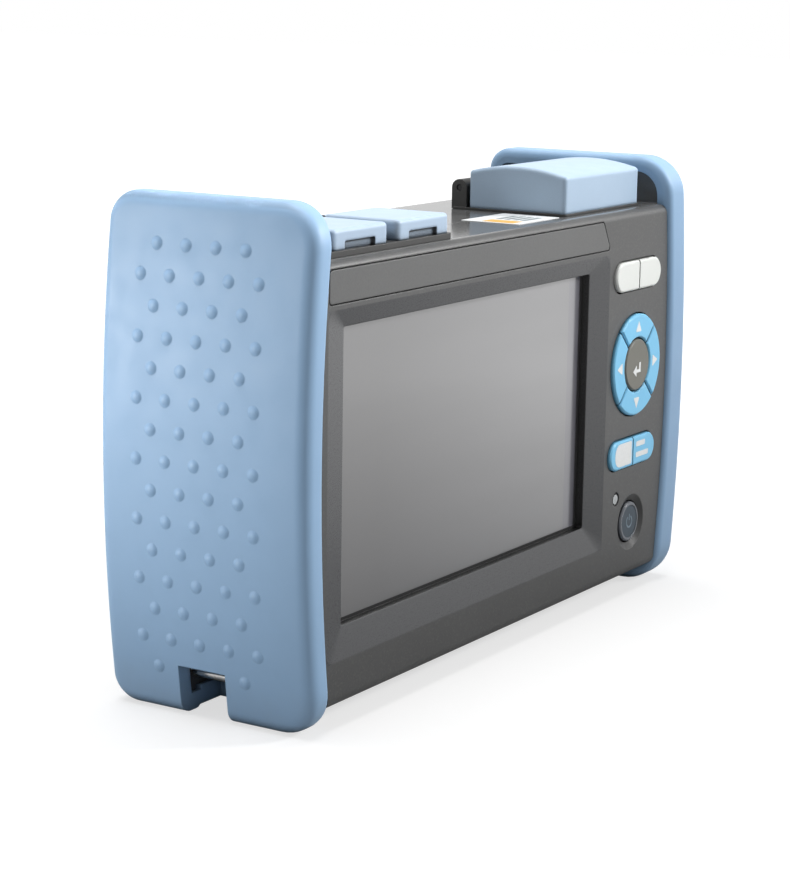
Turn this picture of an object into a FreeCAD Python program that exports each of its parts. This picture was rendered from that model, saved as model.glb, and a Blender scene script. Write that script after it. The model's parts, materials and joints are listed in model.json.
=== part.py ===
import FreeCAD, Part
import math
import os

# Handheld optical time domain reflectometer: a 5-inch screen and a column of keys in a dark case,
# between two bowed rubber end bumpers, with two small port caps and one optical port cover on top.
# Millimetres. +X is the user's right, the screen faces -Y, +Z is up, and the origin is on the
# standing surface at the middle of the width and the depth.

V = FreeCAD.Vector

# ---- overall size -------------------------------------------------------------------------------
WIDTH = 185.0            # over the domes on both bumpers
DEPTH = 56.0             # over the bumpers
HEIGHT = 116.0           # bumper foot to bumper top

# ---- fits ---------------------------------------------------------------------------------------
SEAT_GAP = 0.15          # between fixed pieces with curved faces
KEY_GAP = 0.35           # key to key hole, and key to key
MOVE_GAP = 0.4           # between a lid, stand or cap and what it closes on
PIN_FIT = 0.06           # radial running clearance of every hinge pin
FAR = 200.0              # longer than the instrument, for cutting tools
OVER = 1.0               # a cutting tool runs this far past a face
BEDDED = 1.0             # and a fused rib this far into its wall

# ---- case ---------------------------------------------------------------------------------------
LIP_PROUD = 1.2          # the bumper lips stand this far in front of the case
CASE_FRONT = -DEPTH / 2 + LIP_PROUD
CASE_REAR = -CASE_FRONT
CASE_BOTTOM = 5.2
DECK = HEIGHT - 12.4     # flat top of the case
FRONT_WALL = 3.5
WALL = 2.5
EDGE_R = 2.4             # front edges of the case
REAR_EDGE_R = 3.0
CAVITY_R = 2.0
CAVITY_LEFT = 5.5        # the cavity ends this far inside the left bumper's lip
CAVITY_RIGHT = 3.5

# ---- end bumpers --------------------------------------------------------------------------------
DOME_H = 0.5
DOME_R = 1.5
DOME_TOP_R = 0.8
DOME_SIDES = 8           # each dome is a low eight-sided frustum, to keep 130 of them light
DOME_ROOT = 0.3
OUTER_X = WIDTH / 2 - DOME_H
BOW = 4.3                # how far the side faces bow in from mid height to top and bottom
BOW_PAST = 8.0           # the bowed outlines are drawn this far past top and bottom
SKIN = 4.0               # rubber thickness over the case end
LEFT_LIP = 7.4           # lip width seen from the front
RIGHT_LIP = 10.4
BUMPER_CORNER_R = 10.0
BUMPER_EDGE_R = 3.0
LIP_EDGE = 0.7           # broken edge of the lips
EAR_SET_BACK = 0.8       # the case end sits this far inside the lip's inner face
NECK = 3.0               # length of the neck that joins the case end to the case
MID_Z = HEIGHT / 2
BOW_R = (MID_Z ** 2 + BOW ** 2) / (2 * BOW)

DOME_PITCH_Y = 7.85
DOME_PITCH_Z = 6.76
DOME_ROWS = 14
DOME_TOP_Z = HEIGHT - 10.7
GRID_Y = 1.5             # middle of the dome grid and of the strap notch

NOTCH_W = 12.8
NOTCH_TOP = 11.6
POCKET_W = 14.4
POCKET_TOP = NOTCH_TOP + 0.8
POCKET_WALL = 1.6
POCKET_DEPTH = 8.0
POCKET_MOUTH = 3.0       # the pocket's cut runs out of the case end, and its walls stay in, by this much
BAR_R = 1.1
BAR_Z = 8.7
BAR_INSET = 2.2          # bar axis inside the case end face
BAR_GRIP = 1.4           # length of the bar held in the wall at each end
SEAM_Y = GRID_Y - POCKET_W / 2 - POCKET_WALL - 0.2   # joint of the case halves, in front of the pockets

# ---- screen -------------------------------------------------------------------------------------
WIN_X0 = -74.3
WIN_W = 112.9
WIN_Z0 = 22.7
WIN_H = 66.1
BEVEL_L = 8.0
BEVEL_R = 8.5
BEVEL_T = 4.2
BEVEL_B = 7.2
BEVEL_DEPTH = 1.5
BEVEL_CORNER_R = 3.0
LCD_W = 108.0            # active area of a 5-inch panel
LCD_H = 64.8
WIN_CORNER_R = 0.6
PANEL_MARGIN = 2.2
PANEL_T = 1.1
PANEL_CORNER_R = 1.0
LCD_T = 4.5
LCD_FRAME = 3.0          # frame round the active area
LCD_SHIFT = 1.2          # the active area's middle is left of the window's
LCD_RAISED = 0.6         # the active area stands this far in front of its frame

# ---- name strip ---------------------------------------------------------------------------------
STRIP_Z0 = DECK - 9.2
STRIP_H = 7.2
STRIP_X0 = -81.9
STRIP_X1_TOP = 42.7
STRIP_X1_BOTTOM = 46.8
STRIP_T = 0.8
STRIP_CORNER_R = 0.9
STRIP_GAP = 0.25

# ---- keys ---------------------------------------------------------------------------------------
KEY_PROUD = 0.9
KEY_TRAVEL = 0.8
KEY_FLANGE = 0.9         # flange overhang behind the case wall
KEY_FLANGE_T = 1.0
KEY_SOFT = 0.4
PILL_W = 25.6
PILL_H = 7.7
PILL_SPLIT = 0.5
RUN_PILL_X, RUN_PILL_Z = 62.4, 86.5
MENU_PILL_X, MENU_PILL_Z = 61.9, 39.4
PAD_X, PAD_Z = 62.9, 62.6
PAD_R = 13.5
ENTER_R = 6.9
PAD_SPLIT = 0.5
POWER_X, POWER_Z = 63.6, 19.9
POWER_R = 5.4
POWER_DISC_R = 4.4
POWER_DISC_T = 0.5
POWER_DISC_SINK = 0.1
WELL_R = 7.6
WELL_DEPTH = 1.0
POWER_SINK = 0.3         # power key face behind the case front
LED_X, LED_Z = 54.4, 27.6
LED_R = 1.3
LED_COUNTERSINK = 1.9
LED_COUNTERSINK_DEEP = 0.4
LED_SINK = 0.1
SMALL_FIT = 0.05         # lens to its hole, power disc to its ring, stand eye to the stand's faces
MAT_T = 0.8
MAT_GAP = 0.2            # mat to the flanges of pressed keys
MAT_MARGIN = 3.0         # mat above and below the keys
MAT_SIDE = 1.2           # and to the left of the pad
MAT_RIGHT = 4.5          # mat inside the right lip
MAT_CORNER_R = 2.0

# ---- hinges shared by the caps and the optical cover ---------------------------------------------
PIN_R = 0.8
LUG_W = 3.0
CAP_HINGE_R = 1.8
COVER_HINGE_R = 2.2
WEB_TOP = 0.5            # a barrel's web reaches up to this share of its radius
LUG_ROOT = 0.2           # a lug starts this far inside the plinth it stands on
PIN_INSET = 0.2          # pin ends inside the lugs' outer faces

# ---- port caps ----------------------------------------------------------------------------------
PLINTH_H = 1.4
PLINTH_X0 = -78.4
PLINTH_FRONT = -24.4
PLINTH_REAR = 0.8
PLINTH_CORNER_R = 0.8
PLINTH_LEFT = 1.75       # plinth beyond the left cap
PLINTH_RIGHT = 0.65      # and beyond the right one
CAP_W = 21.9
CAP_PITCH = CAP_W + 3.9  # from cap to cap, with the space between them
CAP_X = (PLINTH_X0 + PLINTH_LEFT + CAP_W / 2, PLINTH_X0 + PLINTH_LEFT + CAP_W / 2 + CAP_PITCH)
PLINTH_X1 = CAP_X[1] + CAP_W / 2 + PLINTH_RIGHT
CAP_FRONT = -24.0
CAP_REAR = -3.9
CAP_H = 4.6
CAP_WALL = 1.2
CAP_SOFT = 0.9
CAP_CORNER_R = 1.4
GRIP_W = 12.0
GRIP_H = 1.9
GRIP_SHIFT = 0.5         # the finger slot sits left of the cap's middle
GRIP_SKIN = 0.4          # wall left behind the slot
GRIP_R = 0.5
WEB_LAP = 0.3            # a hinge web overlaps the cap's rear wall
CAP_AXIS_Y = -1.6

# ---- optical port cover -------------------------------------------------------------------------
COVER_X0 = 31.6
COVER_X1 = 72.4
COVER_FRONT = -21.5
COVER_REAR = 6.6
COVER_BASE = 0.6
COVER_SIDE_H = 9.2
COVER_CROWN = 2.0
COVER_WALL = 1.7
COVER_RISE = 0.2         # the arch starts this much higher at the rear
COVER_ROOF = 0.6         # the hollow stops this far below the arch's ends
COVER_SOFT = 1.1
COVER_RIM_SHARE = 0.8    # fillet along the arch, as a share of the one on the uprights
BRACKET_SIDE = 0.4       # bracket beyond the cover's sides
BRACKET_FRONT = 0.3
BRACKET_CORNER_R = 1.2
BRACKET_ROOT = 0.1       # the cover's lugs start this far above the deck, inside the bracket
COVER_PIN_INSET = 0.3
COVER_WEB_LAP = 0.5      # the cover's hinge web overlaps its rear wall
COVER_AXIS_Y = 9.4
COVER_AXIS_H = 5.5       # above the deck

# ---- ports --------------------------------------------------------------------------------------
SC_X = 43.0
VFL_X = 61.0
PORT_Y = -9.0
ADAPTER_TOP = DECK + 6.0
USB_X = CAP_X[1] + 3.9
MICRO_X = CAP_X[1] - 6.7
JACK_X = CAP_X[0]
TOP_PORT_Y = -14.0
PORT_GAP = 0.1           # a connector to its opening
# Width and depth of upright connectors, seen from above.
USB_SHELL = (14.4, 6.8)
USB_MOUTH = (13.2, 5.4)
USB_TONGUE = (11.2, 2.1)
USB_DEEP = 14.0
USB_FLOOR = 1.5
TONGUE_SINK = 4.4        # contact tongue and jack pin end this far below the mouth
MICRO_SHELL = (4.2, 9.0)
MICRO_MOUTH = (2.0, 7.2)
MICRO_TONGUE = (0.6, 5.2)
MICRO_DEEP = 7.0
MICRO_FLOOR = 2.0
MICRO_TONGUE_SINK = 1.2
JACK_BODY = (9.8, 9.8)
JACK_BORE_R = 3.2
JACK_PIN_R = 1.0
JACK_DEEP = 12.0
JACK_FLOOR = 2.0
SC_BODY = (12.6, 10.6)
SC_MOUTH = (9.2, 7.6)
SC_KEY_W = 2.8
SC_KEY_DEEP = 4.0
SC_KEY_LAP = 0.5         # the keyway's cut starts inside the mouth
SC_DEEP = 14.0
VFL_R = 5.0
VFL_BORE_R = 3.4
VFL_DEEP = 10.0
ADAPTER_FLOOR = 4.0
SLEEVE_ROOT = 1.0        # the ferrule sleeve starts this far inside the floor
FLANGE_W = 2.0
FLANGE_T = 1.0
SLEEVE_R = 1.65
SLEEVE_BORE_R = 1.25
SLEEVE_FLOOR = 2.0
SLEEVE_SINK = 5.0        # sleeve top below the adapter's mouth

# ---- battery bay, tilt stand and fasteners --------------------------------------------------------
BAY_X = 42.0
BAY_Z0 = 29.0
BAY_Z1 = 83.0
BAY_DEPTH = 22.0
BAY_WALL = 1.6
DOOR_T = 2.0
DOOR_LEDGE = 3.0
DOOR_GAP = 0.2
DOOR_CORNER_R = 3.0
DOOR_RIB_T = 1.2         # raised inner panel that locates the door in the bay
DOOR_RIB_GAP = 0.3
DOOR_SCREW_R = 2.6
DOOR_SCREW_X = BAY_X - 12.0
DOOR_SCREW_EDGE = 2.4    # screw head to the door's top edge
PACK_GAP = 0.8           # battery pack to the bay's sides
PACK_CORNER_R = 2.0
STAND_X = 60.0
STAND_Z0 = 13.5
STAND_PIVOT_Z = 90.0
STAND_ARM = 8.0
STAND_FOOT = 9.0
STAND_T = 4.0
STAND_SINK = 0.2         # folded stand behind the case's rear face
STAND_BED_GAP = 0.2      # stand to the bottom of its recess
STAND_CORNER_R = 3.0
STAND_BLOCK = 3.0        # case material behind the folded stand
STAND_PIN_R = 1.2
STAND_PIN_GRIP = 2.0     # length of each stand pin held in the case at each side
PIN_HOLE_SPARE = 0.1     # a pin's hole is this much deeper than the pin
NAIL_W = 18.0            # finger groove in the foot bar
NAIL_R = 1.8
NAIL_RISE = 0.8          # groove axis behind the bar's rear face
CASE_SCREW_X = 71.0
CASE_SCREW_Z = (CASE_BOTTOM + 9.3, DECK - 8.1)
CASE_SCREW_R = 2.9
CASE_SCREW_DEEP = 2.2
CASE_SCREW_HOLE_R = 1.55
CASE_SCREW_HOLE_DEEP = 12.0
SCREW_CLEAR = 0.3        # round a case screw's head
BOSS_R = 4.6
BOSS_SET_BACK = 1.0      # bosses start behind the seam
CASE_SCREW_HEAD_T = 1.6
CASE_SCREW_SHANK_R = 1.5
CASE_SCREW_SHANK = 9.0
DOOR_SCREW_HEAD_T = 0.9
DOOR_SCREW_SHANK_R = 1.0
DOOR_SCREW_SHANK = 0.6
DOOR_SCREW_SINK = 0.1    # head below the door's face
DOOR_SCREW_SEAT = 1.0    # depth of the head's seat
DOOR_SCREW_CLEAR = 0.15
DOOR_SCREW_HOLE_R = 1.3
CROSS_SPAN = 0.55        # cross recess: half span and depth as shares of the head's radius and height
CROSS_DEPTH = 0.6
CROSS_HALF = 0.35

# ---- boards -------------------------------------------------------------------------------------
BOARD_Y = -9.0
BOARD_T = 1.6
BOARD_LEFT = 9.0         # board ends inside the lips
BOARD_RIGHT = 7.0
BOARD_FOOT = 4.0         # board above the cavity's floor
BOARD_TOP = 12.0         # and below its ceiling
BOARD_CORNER_R = 3.0
MODULE_LEFT = 12.0       # module beyond the fibre ports
MODULE_RIGHT = 9.0
MODULE_Y = (PORT_Y + 2.2, PORT_Y + 10.0)
MODULE_TOP = 14.5        # below the deck, under the adapters
MODULE_H = 19.5


# ---- small helpers ------------------------------------------------------------------------------
def box(x0, x1, y0, y1, z0, z1):
    return Part.makeBox(x1 - x0, y1 - y0, z1 - z0, V(x0, y0, z0))


def rod_x(x0, x1, y, z, r):
    return Part.makeCylinder(r, x1 - x0, V(x0, y, z), V(1, 0, 0))


def rod_y(x, y0, y1, z, r):
    return Part.makeCylinder(r, y1 - y0, V(x, y0, z), V(0, 1, 0))


def rod_z(x, y, z0, z1, r):
    return Part.makeCylinder(r, z1 - z0, V(x, y, z0), V(0, 0, 1))


def rounded_wire(u0, u1, v0, v1, r, place):
    """Rounded rectangle in any plane: place(u, v) turns plane coordinates into a point."""
    edges = []
    corners = [(u1 - r, v0 + r, -90), (u1 - r, v1 - r, 0), (u0 + r, v1 - r, 90), (u0 + r, v0 + r, 180)]

    def on_arc(corner, turn):
        a = math.radians(corner[2] + turn)
        return place(corner[0] + r * math.cos(a), corner[1] + r * math.sin(a))

    for i, corner in enumerate(corners):
        edges.append(Part.Arc(on_arc(corner, 0), on_arc(corner, 45), on_arc(corner, 90)).toShape())
        start = on_arc(corner, 90)
        end = on_arc(corners[(i + 1) % 4], 0)
        if start.distanceToPoint(end) > 1e-6:
            edges.append(Part.makeLine(start, end))
    return Part.Wire(edges)


def pad_xz(x0, x1, z0, z1, r, y0, y1):
    """Rounded plate that faces the user."""
    wire = rounded_wire(x0, x1, z0, z1, r, lambda u, w: V(u, y0, w))
    return Part.Face(wire).extrude(V(0, y1 - y0, 0))


def pad_yz(y0, y1, z0, z1, r, x0, x1):
    """Rounded plate that faces sideways."""
    wire = rounded_wire(y0, y1, z0, z1, r, lambda u, w: V(x0, u, w))
    return Part.Face(wire).extrude(V(x1 - x0, 0, 0))


def pad_xy(x0, x1, y0, y1, r, z0, z1):
    """Rounded plate that faces up."""
    wire = rounded_wire(x0, x1, y0, y1, r, lambda u, w: V(u, w, z0))
    return Part.Face(wire).extrude(V(0, 0, z1 - z0))


def edges_where(shape, test):
    return [e for e in shape.Edges if test(e.BoundBox)]


def soften_front(shape, y, size):
    """Break the edges that lie in the plane at y."""
    edges = edges_where(shape, lambda b: abs(b.YMin - y) < 1e-4 and abs(b.YMax - y) < 1e-4)
    return shape.makeChamfer(size, edges)


def sag(z):
    """How far a bowed side has come in at height z."""
    return BOW_R - math.sqrt(BOW_R ** 2 - (z - MID_Z) ** 2)


def bow_edge(x, side):
    """The bowed outline of a side, x being its distance from the middle at mid height."""
    reach = MID_Z + BOW_PAST
    ends = side * (x - sag(MID_Z + reach))
    return (V(ends, 0, MID_Z - reach), V(side * x, 0, MID_Z), V(ends, 0, MID_Z + reach))


def bow_slab(x_in, x_out, side):
    """Everything between two bowed outlines on one side, right through the depth."""
    inner = bow_edge(x_in, side)
    outer = bow_edge(x_out, side)
    wire = Part.Wire([Part.Arc(*inner).toShape(), Part.makeLine(inner[2], outer[2]),
                      Part.Arc(outer[2], outer[1], outer[0]).toShape(), Part.makeLine(outer[0], inner[0])])
    return Part.Face(wire).extrude(V(0, FAR, 0)).translated(V(0, -FAR / 2, 0))


def bow_plug(x_in, x_out, side, inset, r):
    """A bowed slab cut to the bumper's outline, shrunk by inset all round."""
    outline = pad_yz(-DEPTH / 2 + inset, DEPTH / 2 - inset, inset, HEIGHT - inset, r, -FAR, FAR)
    return outline.common(bow_slab(x_in, x_out, side))


# ---- sides --------------------------------------------------------------------------------------
LIP_IN = {-1: OUTER_X - LEFT_LIP, 1: OUTER_X - RIGHT_LIP}
END_X = OUTER_X - SKIN - SEAT_GAP
STRAP_X = END_X - sag(BAR_Z)         # face of the case end at the bar's height


def strap_pocket(side, wall=0.0):
    """Room behind the notch for a strap to pass round the bar, open at the bottom."""
    x_end = side * (STRAP_X + (-POCKET_MOUTH if wall else POCKET_MOUTH))
    x_back = side * (STRAP_X - POCKET_DEPTH - wall)
    half = POCKET_W / 2 + wall
    return box(min(x_end, x_back), max(x_end, x_back), GRID_Y - half, GRID_Y + half,
               CASE_BOTTOM if wall else -OVER, POCKET_TOP + wall)


def strap_bar(side, extra=0.0):
    half = POCKET_W / 2 + BAR_GRIP + extra
    return rod_y(side * (STRAP_X - BAR_INSET), GRID_Y - half, GRID_Y + half, BAR_Z, BAR_R + extra)


def dome_places():
    """Staggered rows of five and four, and two more beside the notch."""
    places = []
    for row in range(DOME_ROWS):
        count = 4 if row % 2 == 0 else 5
        z = DOME_TOP_Z - row * DOME_PITCH_Z
        for k in range(count):
            places.append((GRID_Y + (k - (count - 1) / 2) * DOME_PITCH_Y, z))
    z = DOME_TOP_Z - DOME_ROWS * DOME_PITCH_Z
    places.append((GRID_Y - 1.5 * DOME_PITCH_Y, z))
    places.append((GRID_Y + 1.5 * DOME_PITCH_Y, z))
    return places


def flat_face(points):
    return Part.Face(Part.makePolygon(points + points[:1]))


def dome():
    """One bead of the left bumper, with a short root below the surface."""
    root_r = DOME_R + (DOME_R - DOME_TOP_R) * DOME_ROOT / DOME_H
    turns = [2 * math.pi * k / DOME_SIDES for k in range(DOME_SIDES)]
    root = [V(DOME_ROOT, root_r * math.cos(a), root_r * math.sin(a)) for a in turns]
    top = [V(-DOME_H, DOME_TOP_R * math.cos(a), DOME_TOP_R * math.sin(a)) for a in turns]
    sides = [flat_face([root[k - 1], root[k], top[k], top[k - 1]]) for k in range(DOME_SIDES)]
    return Part.makeSolid(Part.makeShell(sides + [flat_face(root[::-1]), flat_face(top)]))


def bumper(side):
    """Bowed rubber boot with a full-round rim, a strap notch and a grid of domes."""
    boot = bow_plug(LIP_IN[side], OUTER_X, side, 0, BUMPER_CORNER_R)
    walls = [f for f in boot.Faces if f.BoundBox.XLength < BOW + 1]
    walls.sort(key=lambda f: abs(f.CenterOfMass.x))
    boot = boot.makeFillet(BUMPER_EDGE_R, walls[-1].OuterWire.Edges)
    inner = [f for f in boot.Faces if f.BoundBox.XLength < BOW + 1 and f.BoundBox.ZLength > HEIGHT / 2]
    inner.sort(key=lambda f: abs(f.CenterOfMass.x))
    boot = boot.makeChamfer(LIP_EDGE, inner[0].OuterWire.Edges)
    cavity = bow_plug(LIP_IN[side] - OVER, OUTER_X - SKIN, side, SKIN, BUMPER_CORNER_R - SKIN)
    boot = boot.cut(cavity)
    notch = box(min(0, side * FAR), max(0, side * FAR), GRID_Y - NOTCH_W / 2, GRID_Y + NOTCH_W / 2,
                -OVER, NOTCH_TOP)
    boot = boot.cut(notch)
    domes = []
    for y, z in dome_places():
        bead = dome()
        if side > 0:
            bead.rotate(V(0, 0, 0), V(0, 0, 1), 180)
        domes.append(bead.translated(V(side * (OUTER_X - sag(z)), y, z)))
    return boot.multiFuse(domes)


# ---- case ---------------------------------------------------------------------------------------
def case_blank():
    """Both case halves as one closed block, before it is hollowed and split."""
    block = box(-FAR / 2, FAR / 2, CASE_FRONT, CASE_REAR, CASE_BOTTOM, DECK)
    front = edges_where(block, lambda b: abs(b.YMax - CASE_FRONT) < 1e-4 and b.XLength > 1)
    block = block.makeFillet(EDGE_R, front)
    rear = edges_where(block, lambda b: abs(b.YMin - CASE_REAR) < 1e-4 and b.XLength > 1)
    block = block.makeFillet(REAR_EDGE_R, rear)
    for side in (-1, 1):
        block = block.cut(bow_slab(LIP_IN[side], FAR, side))
    pieces = []
    for side in (-1, 1):
        pieces.append(bow_plug(LIP_IN[side] + EAR_SET_BACK, END_X, side, SKIN + SEAT_GAP,
                               BUMPER_CORNER_R - SKIN))
        neck = bow_plug(LIP_IN[side] - NECK, LIP_IN[side] + EAR_SET_BACK + BEDDED, side, SKIN + SEAT_GAP,
                        BUMPER_CORNER_R - SKIN)
        pieces.append(neck.common(box(-FAR, FAR, -FAR, FAR, CASE_BOTTOM, DECK)))
    return block.multiFuse(pieces).removeSplitter()


def case_cavity():
    return pad_yz(CASE_FRONT + FRONT_WALL, CASE_REAR - WALL, CASE_BOTTOM + WALL, DECK - WALL, CAVITY_R,
                  -LIP_IN[-1] + CAVITY_LEFT, LIP_IN[1] - CAVITY_RIGHT)


def case_common():
    """Closed block less the cavity, the strap pockets and the bar holes."""
    case = case_blank().cut(case_cavity())
    for side in (-1, 1):
        case = case.fuse(strap_pocket(side, POCKET_WALL))
        case = case.cut(strap_pocket(side))
        case = case.cut(strap_bar(side, PIN_FIT))
    return case


def bevel_cutter():
    """Mitred bevel from the case front down to the window."""
    x0, x1 = WIN_X0, WIN_X0 + WIN_W
    z0, z1 = WIN_Z0, WIN_Z0 + WIN_H
    front = rounded_wire(x0 - BEVEL_L, x1 + BEVEL_R, z0 - BEVEL_B, z1 + BEVEL_T, BEVEL_CORNER_R,
                         lambda u, w: V(u, CASE_FRONT, w))
    back = rounded_wire(x0, x1, z0, z1, WIN_CORNER_R, lambda u, w: V(u, CASE_FRONT + BEVEL_DEPTH, w))
    return Part.makeLoft([front, back], True, True)


def strip_outline(grow):
    """Blank inlay above the screen: square at the left, slanted at the right."""
    z0, z1 = STRIP_Z0 - grow, STRIP_Z0 + STRIP_H + grow
    pts = [V(STRIP_X0 - grow, 0, z0), V(STRIP_X1_BOTTOM + grow, 0, z0),
           V(STRIP_X1_TOP + grow, 0, z1), V(STRIP_X0 - grow, 0, z1)]
    plate = flat_face(pts).extrude(V(0, STRIP_T, 0))
    corners = edges_where(plate, lambda b: b.YLength > 0.1)
    return plate.makeFillet(STRIP_CORNER_R, corners).translated(V(0, CASE_FRONT, 0))


def pill(x, z, grow, y0, y1):
    half_w = PILL_W / 2 + grow
    half_h = PILL_H / 2 + grow
    return pad_xz(x - half_w, x + half_w, z - half_h, z + half_h, half_h, y0, y1)


KEY_FACE = CASE_FRONT - KEY_PROUD
WALL_BACK = CASE_FRONT + FRONT_WALL
FLANGE_BACK = WALL_BACK + KEY_FLANGE_T
MAT_FRONT = FLANGE_BACK + KEY_TRAVEL + MAT_GAP


def pill_keys(x, z):
    """Two half-pill keys with a flange behind the case wall."""
    stem = soften_front(pill(x, z, 0, KEY_FACE, WALL_BACK), KEY_FACE, KEY_SOFT)
    whole = stem.fuse(pill(x, z, KEY_FLANGE, WALL_BACK, FLANGE_BACK))
    half_split = PILL_SPLIT / 2
    left = whole.cut(box(x - half_split, FAR, -FAR, FAR, -FAR, FAR))
    right = whole.cut(box(-FAR, x + half_split, -FAR, FAR, -FAR, FAR))
    return left, right


def pad_sector(r_in, r_out, y0, y1):
    """Right-hand quarter of a ring about the pad's middle, its ends cut parallel to the split."""
    ring = rod_y(0, y0, y1, 0, r_out).cut(rod_y(0, y0 - OVER, y1 + OVER, 0, r_in))
    edge = PAD_SPLIT / math.sqrt(2)
    reach = 2 * PAD_R
    start = y0 - OVER
    wedge = flat_face([V(edge, start, 0), V(reach, start, edge - reach), V(reach, start, reach - edge)])
    return ring.common(wedge.extrude(V(0, y1 - y0 + 2 * OVER, 0)))


def pad_key(angle):
    """One direction key, turned round the pad's middle from the right-hand one."""
    inner = ENTER_R + KEY_GAP
    stem = soften_front(pad_sector(inner, PAD_R, KEY_FACE, WALL_BACK), KEY_FACE, KEY_SOFT)
    key = stem.fuse(pad_sector(inner + KEY_FLANGE, PAD_R + KEY_FLANGE, WALL_BACK, FLANGE_BACK))
    key.rotate(V(0, 0, 0), V(0, -1, 0), angle)
    return key.translated(V(PAD_X, 0, PAD_Z))


def enter_key():
    stem = rod_y(PAD_X, KEY_FACE, WALL_BACK, PAD_Z, ENTER_R)
    stem = soften_front(stem, KEY_FACE, KEY_SOFT)
    return stem.fuse(rod_y(PAD_X, WALL_BACK, FLANGE_BACK, PAD_Z, ENTER_R))


def power_key():
    face = CASE_FRONT + POWER_SINK
    stem = soften_front(rod_y(POWER_X, face, WALL_BACK, POWER_Z, POWER_R), face, KEY_SOFT)
    key = stem.fuse(rod_y(POWER_X, WALL_BACK, FLANGE_BACK, POWER_Z, POWER_R + KEY_FLANGE))
    return key.cut(rod_y(POWER_X, face - OVER, face + POWER_DISC_T, POWER_Z, POWER_DISC_R))


def power_disc():
    face = CASE_FRONT + POWER_SINK
    return rod_y(POWER_X, face + POWER_DISC_SINK, face + POWER_DISC_T, POWER_Z, POWER_DISC_R - SMALL_FIT)


def power_well():
    """Dished well around the power key."""
    return Part.makeCone(WELL_R, POWER_R + KEY_GAP, WELL_DEPTH, V(POWER_X, CASE_FRONT, POWER_Z), V(0, 1, 0))


def front_case(common):
    case = common.common(box(-FAR, FAR, -FAR, SEAM_Y, -FAR, FAR))
    through = WALL_BACK + OVER
    case = case.cut(bevel_cutter())
    case = case.cut(pad_xz(WIN_X0, WIN_X0 + WIN_W, WIN_Z0, WIN_Z0 + WIN_H, WIN_CORNER_R,
                           -FAR, through))
    case = case.cut(strip_outline(STRIP_GAP))
    holes = [pill(RUN_PILL_X, RUN_PILL_Z, KEY_GAP, -FAR, through),
             pill(MENU_PILL_X, MENU_PILL_Z, KEY_GAP, -FAR, through),
             rod_y(PAD_X, -FAR, through, PAD_Z, PAD_R + KEY_GAP),
             rod_y(POWER_X, -FAR, through, POWER_Z, POWER_R + KEY_GAP),
             power_well(),
             rod_y(LED_X, -FAR, through, LED_Z, LED_R + SMALL_FIT),
             rod_y(LED_X, -FAR, CASE_FRONT + LED_COUNTERSINK_DEEP, LED_Z, LED_COUNTERSINK)]
    for hole in holes:
        case = case.cut(hole)
    for window in deck_windows():
        case = case.cut(window)
    return case


def key_rows():
    """All keys but the power key's disc, by node name."""
    real_time, average = pill_keys(RUN_PILL_X, RUN_PILL_Z)
    menu, setup = pill_keys(MENU_PILL_X, MENU_PILL_Z)
    rows = {"real_time_key": real_time, "average_key": average, "menu_key": menu, "setup_key": setup}
    for name, angle in (("right_key", 0), ("up_key", 90), ("left_key", 180), ("down_key", 270)):
        rows[name] = pad_key(angle)
    rows["enter_key"] = enter_key()
    rows["power_key"] = power_key()
    return rows


def keypad_mat():
    """Rubber mat with the key contacts, one piece behind all the keys."""
    x0, x1 = PAD_X - PAD_R - MAT_SIDE, LIP_IN[1] - MAT_RIGHT
    z0, z1 = POWER_Z - POWER_R - MAT_MARGIN, RUN_PILL_Z + PILL_H / 2 + MAT_MARGIN
    return pad_xz(x0, x1, z0, z1, MAT_CORNER_R, MAT_FRONT, MAT_FRONT + MAT_T)


# ---- screen -------------------------------------------------------------------------------------
def touch_panel():
    m = PANEL_MARGIN
    return pad_xz(WIN_X0 - m, WIN_X0 + WIN_W + m, WIN_Z0 - m, WIN_Z0 + WIN_H + m, PANEL_CORNER_R,
                  WALL_BACK, WALL_BACK + PANEL_T)


def lcd_module():
    """Display module whose raised active area touches the panel's back."""
    x, z = WIN_X0 + WIN_W / 2 - LCD_SHIFT, WIN_Z0 + WIN_H / 2
    y = WALL_BACK + PANEL_T
    half_w = LCD_W / 2
    half_h = LCD_H / 2
    frame = pad_xz(x - half_w - LCD_FRAME, x + half_w + LCD_FRAME, z - half_h - LCD_FRAME,
                   z + half_h + LCD_FRAME, PANEL_CORNER_R, y + LCD_RAISED, y + LCD_T)
    return frame.fuse(box(x - half_w, x + half_w, y, y + LCD_RAISED + BEDDED, z - half_h, z + half_h))


# ---- ports under the caps and the cover -----------------------------------------------------------
def upright_block(x, y, size, low, high, grow=0.0):
    """Upright block about (x, y), size being its width and depth."""
    half_x = size[0] / 2 + grow
    half_y = size[1] / 2 + grow
    return box(x - half_x, x + half_x, y - half_y, y + half_y, low, high)


HOLE_LOW = DECK - WALL - OVER
HOLE_HIGH = DECK + PLINTH_H + OVER


def cap_port_holes():
    """Openings in the plinth for its three connectors."""
    return [upright_block(USB_X, TOP_PORT_Y, USB_SHELL, HOLE_LOW, HOLE_HIGH, PORT_GAP),
            upright_block(MICRO_X, TOP_PORT_Y, MICRO_SHELL, HOLE_LOW, HOLE_HIGH, PORT_GAP),
            upright_block(JACK_X, TOP_PORT_Y, JACK_BODY, HOLE_LOW, HOLE_HIGH, PORT_GAP)]


def fibre_port_holes():
    """Openings in the cover bracket for the two fibre adapters."""
    return [upright_block(SC_X, PORT_Y, SC_BODY, HOLE_LOW, HOLE_HIGH, PORT_GAP),
            rod_z(VFL_X, PORT_Y, HOLE_LOW, HOLE_HIGH, VFL_R + PORT_GAP)]


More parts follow.
